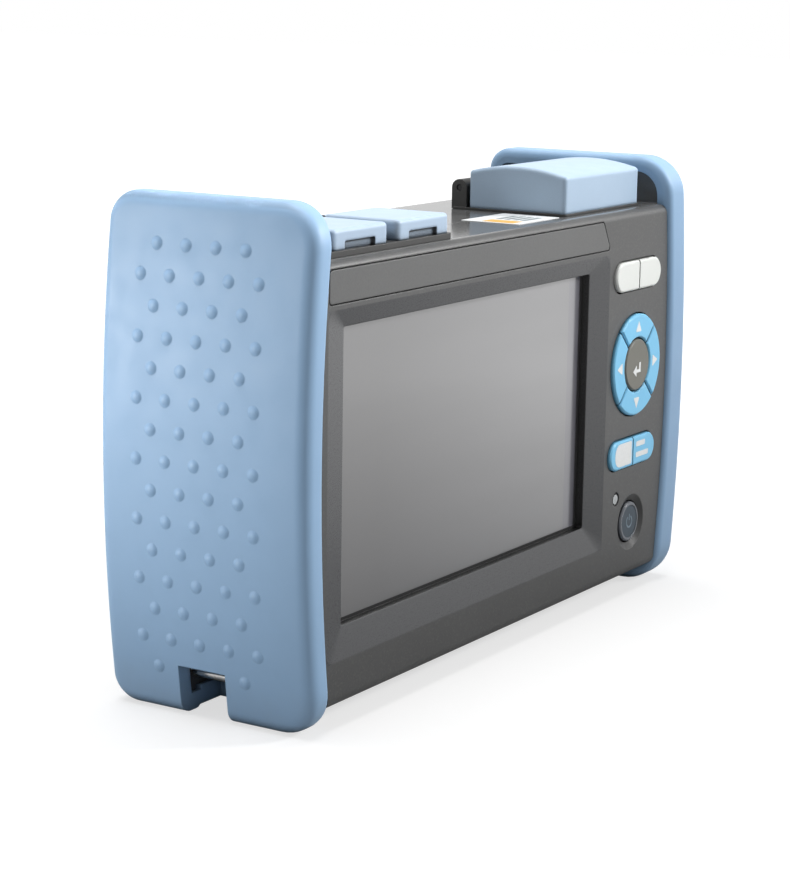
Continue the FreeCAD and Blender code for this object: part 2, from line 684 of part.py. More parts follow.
def deck_windows():
    """One opening in the deck under the plinth and one under the cover bracket."""
    under_plinth = box(JACK_X - JACK_BODY[0] / 2 - PORT_GAP, USB_X + USB_SHELL[0] / 2 + PORT_GAP,
                       TOP_PORT_Y - JACK_BODY[1] / 2 - PORT_GAP, TOP_PORT_Y + JACK_BODY[1] / 2 + PORT_GAP,
                       HOLE_LOW, HOLE_HIGH)
    under_cover = box(SC_X - SC_BODY[0] / 2 - PORT_GAP, VFL_X + VFL_R + PORT_GAP,
                      PORT_Y - SC_BODY[1] / 2 - PORT_GAP, PORT_Y + SC_BODY[1] / 2 + PORT_GAP,
                      HOLE_LOW, HOLE_HIGH)
    return [under_plinth, under_cover]


def usb_a_port():
    """Metal shell with its contact tongue against the front wall."""
    top = DECK + PLINTH_H
    shell = upright_block(USB_X, TOP_PORT_Y, USB_SHELL, top - USB_DEEP, top)
    shell = shell.cut(upright_block(USB_X, TOP_PORT_Y, USB_MOUTH, top - USB_DEEP + USB_FLOOR, top + OVER))
    front = TOP_PORT_Y - USB_MOUTH[1] / 2
    tongue = box(USB_X - USB_TONGUE[0] / 2, USB_X + USB_TONGUE[0] / 2, front, front + USB_TONGUE[1],
                 top - USB_DEEP + USB_FLOOR / 2, top - TONGUE_SINK)
    return shell.fuse(tongue)


def micro_usb_port():
    top = DECK + PLINTH_H
    shell = upright_block(MICRO_X, TOP_PORT_Y, MICRO_SHELL, top - MICRO_DEEP, top)
    shell = shell.cut(upright_block(MICRO_X, TOP_PORT_Y, MICRO_MOUTH, top - MICRO_DEEP + MICRO_FLOOR,
                                    top + OVER))
    return shell.fuse(upright_block(MICRO_X, TOP_PORT_Y, MICRO_TONGUE, top - MICRO_DEEP + MICRO_FLOOR / 2,
                                    top - MICRO_TONGUE_SINK))


def dc_jack():
    """Charger socket with its centre pin."""
    top = DECK + PLINTH_H
    body = upright_block(JACK_X, TOP_PORT_Y, JACK_BODY, top - JACK_DEEP, top)
    body = body.cut(rod_z(JACK_X, TOP_PORT_Y, top - JACK_DEEP + JACK_FLOOR, top + OVER, JACK_BORE_R))
    return body.fuse(rod_z(JACK_X, TOP_PORT_Y, top - JACK_DEEP + JACK_FLOOR / 2, top - TONGUE_SINK,
                           JACK_PIN_R))


def ferrule_sleeve(x, low, high):
    """Ceramic sleeve on the floor of a fibre adapter."""
    sleeve = rod_z(x, PORT_Y, low, high, SLEEVE_R)
    return sleeve.cut(rod_z(x, PORT_Y, low + SLEEVE_FLOOR, high + OVER, SLEEVE_BORE_R))


SLEEVE_TOP = ADAPTER_TOP - SLEEVE_SINK
FLANGE_Z = DECK + COVER_BASE


def otdr_adapter():
    """Square-mouthed fibre adapter with a keyway in its rear wall."""
    floor = DECK - SC_DEEP + ADAPTER_FLOOR
    tube = upright_block(SC_X, PORT_Y, SC_BODY, DECK - SC_DEEP, ADAPTER_TOP)
    tube = tube.cut(upright_block(SC_X, PORT_Y, SC_MOUTH, floor, ADAPTER_TOP + OVER))
    rear_wall = PORT_Y + SC_MOUTH[1] / 2
    key_way = box(SC_X - SC_KEY_W / 2, SC_X + SC_KEY_W / 2, rear_wall - SC_KEY_LAP, rear_wall + FAR,
                  ADAPTER_TOP - SC_KEY_DEEP, ADAPTER_TOP + OVER)
    flange = upright_block(SC_X, PORT_Y, SC_BODY, FLANGE_Z, FLANGE_Z + FLANGE_T, FLANGE_W)
    flange = flange.cut(upright_block(SC_X, PORT_Y, SC_MOUTH, DECK, ADAPTER_TOP))
    return tube.cut(key_way).fuse(flange).fuse(ferrule_sleeve(SC_X, floor - SLEEVE_ROOT, SLEEVE_TOP))


def vfl_adapter():
    """Round ferrule port of the visible light source."""
    floor = DECK - VFL_DEEP + ADAPTER_FLOOR
    tube = rod_z(VFL_X, PORT_Y, DECK - VFL_DEEP, ADAPTER_TOP, VFL_R)
    tube = tube.fuse(rod_z(VFL_X, PORT_Y, FLANGE_Z, FLANGE_Z + FLANGE_T, VFL_R + FLANGE_W))
    tube = tube.cut(rod_z(VFL_X, PORT_Y, floor, ADAPTER_TOP + OVER, VFL_BORE_R))
    return tube.fuse(ferrule_sleeve(VFL_X, floor - SLEEVE_ROOT, SLEEVE_TOP))


# ---- hinges -------------------------------------------------------------------------------------
def hinge_lug(x0, x1, y, z, r, foot_z):
    """Round-topped lug that stands on foot_z and carries a pin along X."""
    lug = rod_x(x0, x1, y, z, r).fuse(box(x0, x1, y - r, y + r, foot_z, z))
    return lug.cut(rod_x(x0 - OVER, x1 + OVER, y, z, PIN_R + PIN_FIT / 2))


def hinge_barrel(x0, x1, y, z, r, web_y):
    """Round knuckle with a web that reaches forward to web_y."""
    barrel = rod_x(x0, x1, y, z, r).fuse(box(x0, x1, web_y, y, z - r, z + r * WEB_TOP))
    return barrel.cut(rod_x(x0 - OVER, x1 + OVER, y, z, PIN_R + PIN_FIT))


def port_plinth():
    """Dark base of the two port caps, with their hinge lugs."""
    top = DECK + PLINTH_H
    plinth = pad_xy(PLINTH_X0, PLINTH_X1, PLINTH_FRONT, PLINTH_REAR, PLINTH_CORNER_R, DECK, top)
    axis_z = top + CAP_HINGE_R + MOVE_GAP
    foot_z = top - LUG_ROOT
    for mid in CAP_X:
        for x0 in (mid - CAP_W / 2, mid + CAP_W / 2 - LUG_W):
            plinth = plinth.fuse(hinge_lug(x0, x0 + LUG_W, CAP_AXIS_Y, axis_z, CAP_HINGE_R, foot_z))
    for hole in cap_port_holes():
        plinth = plinth.cut(hole)
    return plinth


def port_cap(mid):
    """Small cap with a finger slot low in its front wall, hinged at the rear."""
    base = DECK + PLINTH_H
    x0, x1 = mid - CAP_W / 2, mid + CAP_W / 2
    cap = box(x0, x1, CAP_FRONT, CAP_REAR, base, base + CAP_H)
    uprights = edges_where(cap, lambda b: b.ZLength > 1)
    cap = cap.makeFillet(CAP_CORNER_R, uprights)
    rim = edges_where(cap, lambda b: abs(b.ZMin - base - CAP_H) < 1e-4)
    cap = cap.makeFillet(CAP_SOFT, rim)
    cap = cap.cut(box(x0 + CAP_WALL, x1 - CAP_WALL, CAP_FRONT + CAP_WALL, CAP_REAR - CAP_WALL,
                      base - OVER, base + CAP_H - CAP_WALL))
    slot_x = mid - GRIP_SHIFT
    grip = pad_xz(slot_x - GRIP_W / 2, slot_x + GRIP_W / 2, base - OVER, base + GRIP_H, GRIP_R,
                  CAP_FRONT - OVER, CAP_FRONT + CAP_WALL - GRIP_SKIN)
    cap = cap.cut(grip)
    z = base + CAP_HINGE_R + MOVE_GAP
    barrel = hinge_barrel(x0 + LUG_W + MOVE_GAP, x1 - LUG_W - MOVE_GAP, CAP_AXIS_Y, z, CAP_HINGE_R,
                          CAP_REAR - WEB_LAP)
    return cap.fuse(barrel)


def cap_pin(mid):
    z = DECK + PLINTH_H + CAP_HINGE_R + MOVE_GAP
    half = CAP_W / 2 - PIN_INSET
    return rod_x(mid - half, mid + half, CAP_AXIS_Y, z, PIN_R)


def cover_bracket():
    """Dark base frame of the optical cover, with two hinge lugs behind it."""
    plate = pad_xy(COVER_X0 - BRACKET_SIDE, COVER_X1 + BRACKET_SIDE, COVER_FRONT - BRACKET_FRONT,
                   COVER_AXIS_Y + COVER_HINGE_R, BRACKET_CORNER_R, DECK, DECK + COVER_BASE)
    z = DECK + COVER_AXIS_H
    for x0 in (COVER_X0, COVER_X1 - 2 * LUG_W):
        plate = plate.fuse(hinge_lug(x0, x0 + 2 * LUG_W, COVER_AXIS_Y, z, COVER_HINGE_R, DECK + BRACKET_ROOT))
    for hole in fibre_port_holes():
        plate = plate.cut(hole)
    return plate


def optical_cover():
    """Arched cover over the fibre ports."""
    base = DECK + COVER_BASE
    side_top = base + COVER_SIDE_H
    mid_y = (COVER_FRONT + COVER_REAR) / 2
    front_foot = V(0, COVER_FRONT, base)
    front_top = V(0, COVER_FRONT, side_top)
    rear_foot = V(0, COVER_REAR, base)
    rear_top = V(0, COVER_REAR, side_top + COVER_RISE)
    arch = Part.Arc(front_top, V(0, mid_y, side_top + COVER_CROWN), rear_top).toShape()
    outline = Part.Wire([Part.makeLine(rear_foot, front_foot), Part.makeLine(front_foot, front_top), arch,
                         Part.makeLine(rear_top, rear_foot)])
    cover = Part.Face(outline).extrude(V(COVER_X1 - COVER_X0, 0, 0)).translated(V(COVER_X0, 0, 0))
    uprights = edges_where(cover, lambda b: b.XLength < 0.01 and b.YLength < 0.01)
    cover = cover.makeFillet(COVER_SOFT, uprights)
    rim = edges_where(cover, lambda b: b.ZMin > base + COVER_SIDE_H / 2)
    cover = cover.makeFillet(COVER_SOFT * COVER_RIM_SHARE, rim)
    wall = COVER_WALL
    cover = cover.cut(box(COVER_X0 + wall, COVER_X1 - wall, COVER_FRONT + wall, COVER_REAR - wall,
                          base - OVER, side_top - COVER_ROOF))
    barrel = hinge_barrel(COVER_X0 + 2 * LUG_W + MOVE_GAP, COVER_X1 - 2 * LUG_W - MOVE_GAP, COVER_AXIS_Y,
                          DECK + COVER_AXIS_H, COVER_HINGE_R, COVER_REAR - COVER_WEB_LAP)
    return cover.fuse(barrel)


def cover_pin():
    return rod_x(COVER_X0 + COVER_PIN_INSET, COVER_X1 - COVER_PIN_INSET, COVER_AXIS_Y, DECK + COVER_AXIS_H,
                 PIN_R)


# ---- rear ---------------------------------------------------------------------------------------
STAND_Y1 = CASE_REAR - STAND_SINK
STAND_Y0 = STAND_Y1 - STAND_T
STAND_BED = STAND_Y0 - STAND_BED_GAP
PIVOT_Y = (STAND_Y0 + STAND_Y1) / 2
PIVOT_R = STAND_T / 2 - SMALL_FIT
DOOR_X = BAY_X + DOOR_LEDGE
DOOR_Z0 = BAY_Z0 - DOOR_LEDGE
DOOR_Z1 = BAY_Z1 + DOOR_LEDGE
SCREW_PLACES = [(sx * CASE_SCREW_X, z) for sx in (-1, 1) for z in CASE_SCREW_Z]
DOOR_SCREW_PLACES = [(sx * DOOR_SCREW_X, DOOR_Z1 - DOOR_SCREW_EDGE - DOOR_SCREW_R) for sx in (-1, 1)]


def across(side, inner, outer):
    """Lower and higher X of a stretch between two distances from the middle."""
    return min(side * inner, side * outer), max(side * inner, side * outer)


def u_frame(grow, y0, y1):
    """U outline of the stand, up to its pivot: two arms and a foot bar."""
    outer = pad_xz(-STAND_X - grow, STAND_X + grow, STAND_Z0 - grow, STAND_PIVOT_Z + 2 * STAND_CORNER_R,
                   STAND_CORNER_R, y0, y1)
    inner = box(-STAND_X + STAND_ARM + grow, STAND_X - STAND_ARM - grow, y0 - OVER, y1 + OVER,
                STAND_Z0 + STAND_FOOT + grow, FAR)
    return outer.cut(inner).cut(box(-FAR, FAR, -FAR, FAR, STAND_PIVOT_Z, FAR))


def tilt_stand():
    """Folding U-shaped stand; its arms end in round eyes on two pins."""
    stand = u_frame(0, STAND_Y0, STAND_Y1)
    for side in (-1, 1):
        x0, x1 = across(side, STAND_X - STAND_ARM, STAND_X)
        stand = stand.fuse(rod_x(x0, x1, PIVOT_Y, STAND_PIVOT_Z, PIVOT_R))
    stand = stand.cut(rod_x(-NAIL_W / 2, NAIL_W / 2, STAND_Y1 + NAIL_RISE, STAND_Z0 + STAND_FOOT, NAIL_R))
    for side in (-1, 1):
        x0, x1 = across(side, STAND_X - STAND_ARM - OVER, STAND_X + OVER)
        stand = stand.cut(rod_x(x0, x1, PIVOT_Y, STAND_PIVOT_Z, STAND_PIN_R + PIN_FIT))
    return stand


def stand_pins():
    pins = []
    for side in (-1, 1):
        x0, x1 = across(side, STAND_X - STAND_ARM - STAND_PIN_GRIP, STAND_X + STAND_PIN_GRIP)
        pins.append(rod_x(x0, x1, PIVOT_Y, STAND_PIVOT_Z, STAND_PIN_R))
    return Part.makeCompound(pins)


def add_bay_and_stand_bed(case):
    """Fuse the battery bay's walls and the stand's backing, then cut the bay, the door seat and the bed."""
    inner_rear = CASE_REAR - BEDDED
    backing = box(-STAND_X - STAND_BLOCK, STAND_X + STAND_BLOCK, STAND_Y0 - STAND_BLOCK, inner_rear,
                  CASE_BOTTOM + BEDDED, STAND_PIVOT_Z + PIVOT_R + STAND_BLOCK)
    bay_wall = box(-BAY_X - BAY_WALL, BAY_X + BAY_WALL, CASE_REAR - BAY_DEPTH - BAY_WALL, inner_rear,
                   BAY_Z0 - BAY_WALL, BAY_Z1 + BAY_WALL)
    case = case.fuse(backing).fuse(bay_wall)
    case = case.cut(box(-BAY_X, BAY_X, CASE_REAR - BAY_DEPTH, FAR, BAY_Z0, BAY_Z1))
    case = case.cut(pad_xz(-DOOR_X - DOOR_GAP, DOOR_X + DOOR_GAP, DOOR_Z0 - DOOR_GAP, DOOR_Z1 + DOOR_GAP,
                           DOOR_CORNER_R, CASE_REAR - DOOR_T, FAR))
    return case.cut(u_frame(MOVE_GAP, STAND_BED, FAR))


def cut_stand_eyes(case):
    """Room for the stand's round eyes, and the holes of its two pins."""
    for side in (-1, 1):
        x0, x1 = across(side, STAND_X - STAND_ARM - MOVE_GAP, STAND_X + MOVE_GAP)
        case = case.cut(box(x0, x1, STAND_BED, FAR, STAND_PIVOT_Z - OVER, STAND_PIVOT_Z + PIVOT_R + MOVE_GAP))
        reach = STAND_PIN_GRIP + PIN_HOLE_SPARE
        x0, x1 = across(side, STAND_X - STAND_ARM - reach, STAND_X + reach)
        case = case.cut(rod_x(x0, x1, PIVOT_Y, STAND_PIVOT_Z, STAND_PIN_R + PIN_FIT / 2))
    return case


def rear_case(common):
    case = common.common(box(-FAR, FAR, SEAM_Y, FAR, -FAR, FAR))
    case = cut_stand_eyes(add_bay_and_stand_bed(case))
    for x, z in SCREW_PLACES:
        boss = rod_y(x, SEAM_Y + BOSS_SET_BACK, CASE_REAR - BEDDED, z, BOSS_R)
        case = case.fuse(boss.common(case_cavity()))
        case = case.cut(rod_y(x, CASE_REAR - CASE_SCREW_DEEP, FAR, z, CASE_SCREW_R + SCREW_CLEAR))
        case = case.cut(rod_y(x, CASE_REAR - CASE_SCREW_HOLE_DEEP, FAR, z, CASE_SCREW_HOLE_R))
    for x, z in DOOR_SCREW_PLACES:
        case = case.cut(rod_y(x, CASE_REAR - OVER, FAR, z, DOOR_SCREW_SHANK_R))
    for window in deck_windows():
        case = case.cut(window)
    return case


def battery_door():
    inner_face = CASE_REAR - DOOR_T
    half_rib = BAY_X - DOOR_RIB_GAP
    door = pad_xz(-DOOR_X, DOOR_X, DOOR_Z0, DOOR_Z1, DOOR_CORNER_R - DOOR_GAP, inner_face, CASE_REAR)
    door = door.fuse(box(-half_rib, half_rib, inner_face - DOOR_RIB_T, inner_face,
                         BAY_Z0 + DOOR_RIB_GAP, BAY_Z1 - DOOR_RIB_GAP))
    for x, z in DOOR_SCREW_PLACES:
        door = door.cut(rod_y(x, CASE_REAR - DOOR_SCREW_SEAT, FAR, z, DOOR_SCREW_R + DOOR_SCREW_CLEAR))
        door = door.cut(rod_y(x, -FAR, FAR, z, DOOR_SCREW_HOLE_R))
    return door


def battery_pack():
    return pad_xz(-BAY_X + PACK_GAP, BAY_X - PACK_GAP, BAY_Z0 + PACK_GAP, BAY_Z1 - PACK_GAP, PACK_CORNER_R,
                  CASE_REAR - BAY_DEPTH, CASE_REAR - DOOR_T - DOOR_RIB_T)


def cross_screw(x, z, head_y, head_r, head_t, shank_r, shank):
    """Pan-head screw driven from the rear, with a cross recess."""
    seat_y = head_y - head_t
    screw = rod_y(x, seat_y, head_y, z, head_r).fuse(rod_y(x, seat_y - shank, seat_y, z, shank_r))
    span = head_r * CROSS_SPAN
    for half_x, half_z in ((span, CROSS_HALF), (CROSS_HALF, span)):
        screw = screw.cut(box(x - half_x, x + half_x, head_y - head_t * CROSS_DEPTH, head_y + OVER,
                              z - half_z, z + half_z))
    return screw


def case_screws():
    head_y = CASE_REAR - CASE_SCREW_DEEP + CASE_SCREW_HEAD_T
    return Part.makeCompound([cross_screw(x, z, head_y, CASE_SCREW_R, CASE_SCREW_HEAD_T, CASE_SCREW_SHANK_R,
                                          CASE_SCREW_SHANK) for x, z in SCREW_PLACES])


def door_screws():
    head_y = CASE_REAR - DOOR_SCREW_SINK
    return Part.makeCompound([cross_screw(x, z, head_y, DOOR_SCREW_R, DOOR_SCREW_HEAD_T, DOOR_SCREW_SHANK_R,
                                          DOOR_SCREW_SHANK) for x, z in DOOR_SCREW_PLACES])


# ---- boards behind the screen ---------------------------------------------------------------------
def main_board():
    return pad_xz(BOARD_LEFT - LIP_IN[-1], LIP_IN[1] - BOARD_RIGHT, CASE_BOTTOM + WALL + BOARD_FOOT,
                  DECK - WALL - BOARD_TOP, BOARD_CORNER_R, BOARD_Y, BOARD_Y + BOARD_T)


def otdr_module():
    """Screened optical module below the two fibre adapters."""
    top = DECK - MODULE_TOP
    return box(SC_X - MODULE_LEFT, VFL_X + MODULE_RIGHT, MODULE_Y[0], MODULE_Y[1], top - MODULE_H, top)


# ---- write the pieces -----------------------------------------------------------------------------
os.makedirs("parts", exist_ok=True)


def save(name, shape):
    solids = shape.Solids
    assert solids and all(s.isValid() for s in solids), name
    shape = solids[0] if len(solids) == 1 else Part.makeCompound(solids)
    shape.exportStep("parts/" + name + ".step")
    print(name, len(solids), round(shape.Volume, 1))


case = case_common()
pieces = {"front_case": front_case(case), "rear_case": rear_case(case), "name_strip": strip_outline(0),
          "touch_panel": touch_panel(), "lcd_module": lcd_module(), "keypad_mat": keypad_mat(),
          "left_bumper": bumper(-1), "right_bumper": bumper(1)}
pieces.update(key_rows())
pieces["power_key_disc"] = power_disc()
pieces["status_led"] = rod_y(LED_X, CASE_FRONT + LED_SINK, WALL_BACK + BEDDED, LED_Z, LED_R)
pieces["left_strap_bar"] = strap_bar(-1)
pieces["right_strap_bar"] = strap_bar(1)
pieces["port_plinth"] = port_plinth()
pieces["power_port_cap"] = port_cap(CAP_X[0])
pieces["usb_port_cap"] = port_cap(CAP_X[1])
pieces["port_cap_pins"] = Part.makeCompound([cap_pin(mid) for mid in CAP_X])
pieces["cover_bracket"] = cover_bracket()
pieces["optical_cover"] = optical_cover()
pieces["cover_pin"] = cover_pin()
pieces["otdr_adapter"] = otdr_adapter()
pieces["light_source_adapter"] = vfl_adapter()
pieces["usb_a_port"] = usb_a_port()
pieces["micro_usb_port"] = micro_usb_port()
pieces["dc_jack"] = dc_jack()
pieces["main_board"] = main_board()
pieces["otdr_module"] = otdr_module()
pieces["battery_pack"] = battery_pack()
pieces["battery_door"] = battery_door()
pieces["battery_door_screws"] = door_screws()
pieces["tilt_stand"] = tilt_stand()
pieces["stand_pins"] = stand_pins()
pieces["case_screws"] = case_screws()
for name, shape in pieces.items():
    save(name, shape)
print(len(pieces), "nodes")
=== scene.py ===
# %% [markdown]
# # A handheld optical time domain reflectometer
#
# The real instrument is a dark textured case with a 5-inch screen and a column of rubber keys. Two bowed
# rubber boots close its ends, and small hinged caps on top cover the sockets. The CAD frame already holds
# every piece at its real size, so this lesson gives each piece its finish, remakes the two boots as
# smooth rubber, prints the key symbols and lights the result in a plain white studio.

# %% Load the CAD frame
import math

import bmesh
import bpy
from mathutils import Euler, Matrix, Vector
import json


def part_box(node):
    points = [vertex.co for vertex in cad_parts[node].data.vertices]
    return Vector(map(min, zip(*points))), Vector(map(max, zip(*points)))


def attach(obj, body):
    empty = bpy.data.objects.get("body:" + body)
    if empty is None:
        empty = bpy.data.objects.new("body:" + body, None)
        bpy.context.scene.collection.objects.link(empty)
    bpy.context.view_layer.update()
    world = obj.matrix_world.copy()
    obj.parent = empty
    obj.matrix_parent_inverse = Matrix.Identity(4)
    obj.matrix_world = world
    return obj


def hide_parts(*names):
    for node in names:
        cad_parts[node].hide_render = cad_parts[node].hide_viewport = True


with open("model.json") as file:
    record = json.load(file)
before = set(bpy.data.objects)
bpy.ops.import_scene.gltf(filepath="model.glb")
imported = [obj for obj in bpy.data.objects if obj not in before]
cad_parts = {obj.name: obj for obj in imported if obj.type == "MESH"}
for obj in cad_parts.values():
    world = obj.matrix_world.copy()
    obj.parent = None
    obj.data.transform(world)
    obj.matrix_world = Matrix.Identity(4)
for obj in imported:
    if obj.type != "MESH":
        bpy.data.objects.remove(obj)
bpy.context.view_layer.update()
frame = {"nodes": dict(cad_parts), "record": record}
MM = 0.001


def span_mm(node):
    """Lowest and highest corner of a CAD piece, in millimetres."""
    low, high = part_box(node)
    return low / MM, high / MM


# %% [markdown]
# ## The camera
#
# The instrument is seen from its left end, a little above, with a long lens. A long lens keeps the two
# boots nearly the same size although one is much nearer. The camera is written as a place and three
# turns, which is easier to change by hand than a matrix.

# %% Place the camera
CAMERA_PLACE = (-488.7, -298.7, 163.3)
CAMERA_TILT = 78.82
CAMERA_ROLL = -0.81
CAMERA_TURN = -57.73
LENS = 97.0
SENSOR = 36.0

lens = bpy.data.cameras.new("studio_camera")
lens.lens = LENS
lens.sensor_width = SENSOR
lens.sensor_fit = "AUTO"
lens.clip_start = 0.01
camera = bpy.data.objects.new("studio_camera", lens)
camera.location = Vector(CAMERA_PLACE) * MM
camera.rotation_euler = Euler([math.radians(a) for a in (CAMERA_TILT, CAMERA_ROLL, CAMERA_TURN)], "XYZ")
bpy.context.scene.collection.objects.link(camera)
bpy.context.scene.camera = camera
bpy.context.scene.view_settings.view_transform = "Standard"
print("camera distance to the case in mm:", round(camera.location.length / MM))

# %% [markdown]
# ## Building materials from nodes
#
# A finish is a Principled shader and a few textures that vary its colour, roughness and height. The same
# four steps come back in every finish, so they are written once: add a node, make a grain at a real size,
# mottle a colour, and turn heights into a bump. Object coordinates are metres here, so a texture scale of
# 1000 means one feature per millimetre.


# %% Small helpers for node materials
def add(tree, kind, sockets=None, **settings):
    """Add a shader node; a socket's value is a number, a colour or another node's output."""
    node = tree.nodes.new("ShaderNode" + kind)
    for name, value in settings.items():
        setattr(node, name, value)
    for name, value in (sockets or {}).items():
        if isinstance(value, bpy.types.NodeSocket):
            tree.links.new(value, node.inputs[name])
        else:
            node.inputs[name].default_value = value
    return node


def new_finish(name, **sockets):
    """A material with an empty Principled shader, its tree, the shader and the object coordinates."""
    material = bpy.data.materials.new(name)
    material.use_nodes = True
    tree = material.node_tree
    shader = tree.nodes["Principled BSDF"]
    for label, value in sockets.items():
        shader.inputs[label.replace("_", " ")].default_value = value
    place = add(tree, "TexCoord").outputs["Object"]
    return material, tree, shader, place


def grain(tree, place, size_mm, detail=3.0):
    """Noise whose features are about size_mm across, from 0 to 1."""
    noise = add(tree, "TexNoise", {"Vector": place, "Scale": 1.0 / (size_mm * MM), "Detail": detail})
    return noise.outputs["Fac"]


def between(tree, amount, low, high, start=0.3, end=0.7):
    """Turn an amount from start to end into a number from low to high."""
    ramp = add(tree, "MapRange", {"Value": amount, "From Min": start, "From Max": end,
                                  "To Min": low, "To Max": high})
    return ramp.outputs["Result"]


FACTOR, COLOUR_A, COLOUR_B, COLOUR_OUT = 0, 6, 7, 2
VECTOR_A, VECTOR_B, VECTOR_OUT = 4, 5, 1


def blend(tree, amount, first, second):
    """Mix two colours, each a colour or a socket."""
    mix = add(tree, "Mix", data_type="RGBA")
    for slot, value in {FACTOR: amount, COLOUR_A: first, COLOUR_B: second}.items():
        if isinstance(value, bpy.types.NodeSocket):
            tree.links.new(value, mix.inputs[slot])
        else:
            mix.inputs[slot].default_value = value if slot == FACTOR else (*value, 1.0)
    return mix.outputs[COLOUR_OUT]


def bump(tree, height, depth_mm, normal=None, strength=1.0):
    """Bump of a real depth, on top of another normal if one is given."""
    sockets = {"Height": height, "Distance": depth_mm * MM, "Strength": strength}
    if normal is not None:
        sockets["Normal"] = normal
    return add(tree, "Bump", sockets).outputs["Normal"]


def soft_edges(tree, radius_mm):
    """A normal that rounds sharp edges when the surface is shaded."""
    return add(tree, "Bevel", {"Radius": radius_mm * MM}, samples=6).outputs["Normal"]


def crevices(tree, reach_mm):
    """1 on open surfaces, towards 0 in slots, gaps and inner corners; it drives painted shade there."""
    return add(tree, "AmbientOcclusion", {"Distance": reach_mm * MM}, samples=4).outputs["AO"]


def shade(colour, factor):
    """The same colour, darker or lighter."""
    return tuple(min(1.0, c * factor) for c in colour)


def greater(tree, value, limit_mm):
    """1 where a coordinate is past a limit in millimetres."""
    return add(tree, "Math", {0: value, 1: limit_mm * MM}, operation="GREATER_THAN").outputs[0]


def less(tree, value, limit_mm):
    return add(tree, "Math", {0: value, 1: limit_mm * MM}, operation="LESS_THAN").outputs[0]


def times(tree, first, second):
    return add(tree, "Math", {0: first, 1: second}, operation="MULTIPLY").outputs[0]


def plus(tree, first, second):
    return add(tree, "Math", {0: first, 1: second}).outputs[0]


def minus(tree, first, second):
    return add(tree, "Math", {0: first, 1: second}, operation="SUBTRACT").outputs[0]


def inside(tree, value, low_mm, high_mm):
    """1 between two heights or widths, 0 outside."""
    return times(tree, greater(tree, value, low_mm), less(tree, value, high_mm))


def axes_of(tree, place):
    """The X, Y and Z outputs of a place."""
    return add(tree, "SeparateXYZ", {"Vector": place}).outputs


# %% [markdown]
# ## Moulded plastic and rubber
#
# Most pieces come out of a mould: their colour is even but never perfectly flat, because handling
# polishes some places and dusts others. One function makes such a finish from a colour, a gloss and the
# mould's texture. A broad noise shifts colour and gloss together, a middle noise makes faint smudges, and
# a fine noise is the mould grain. Slots, gaps and inner corners get painted shade.


# %% The moulded finish
BROAD_MM, SMUDGE_MM = 26.0, 5.0


def moulded(name, colour, roughness, grain_mm, grain_depth_mm, edge_mm=0.25, mottle=0.06, gap_shade=0.45,
            reach_mm=1.6, shut=0.25, clear=0.85):
    """Mould grain, smudges, rounded edges, and painted shade that darkens gaps to a given share of the
    colour.
    """
    material, tree, shader, place = new_finish(name)
    broad = grain(tree, place, BROAD_MM, 2.0)
    smudge = grain(tree, place, SMUDGE_MM, 4.0)
    fine = grain(tree, place, grain_mm, 2.0)
    even = blend(tree, between(tree, broad, 0.0, 1.0), shade(colour, 1 - mottle), shade(colour, 1 + mottle))
    worn = blend(tree, between(tree, smudge, 0.0, 0.35), even, shade(colour, 1 - mottle))
    pitted = blend(tree, between(tree, fine, 0.12, 0.0), worn, shade(colour, 0.7))
    # Painted shade: slots, gaps and inner corners darken towards a share of the colour.
    open_area = between(tree, crevices(tree, reach_mm), 0.0, 1.0, shut, clear)
    tree.links.new(blend(tree, open_area, shade(colour, gap_shade), pitted), shader.inputs["Base Color"])
    tree.links.new(between(tree, smudge, roughness - 0.04, roughness + 0.05), shader.inputs["Roughness"])
    rounded = soft_edges(tree, edge_mm)
    tree.links.new(bump(tree, fine, grain_depth_mm, rounded), shader.inputs["Normal"])
    return material
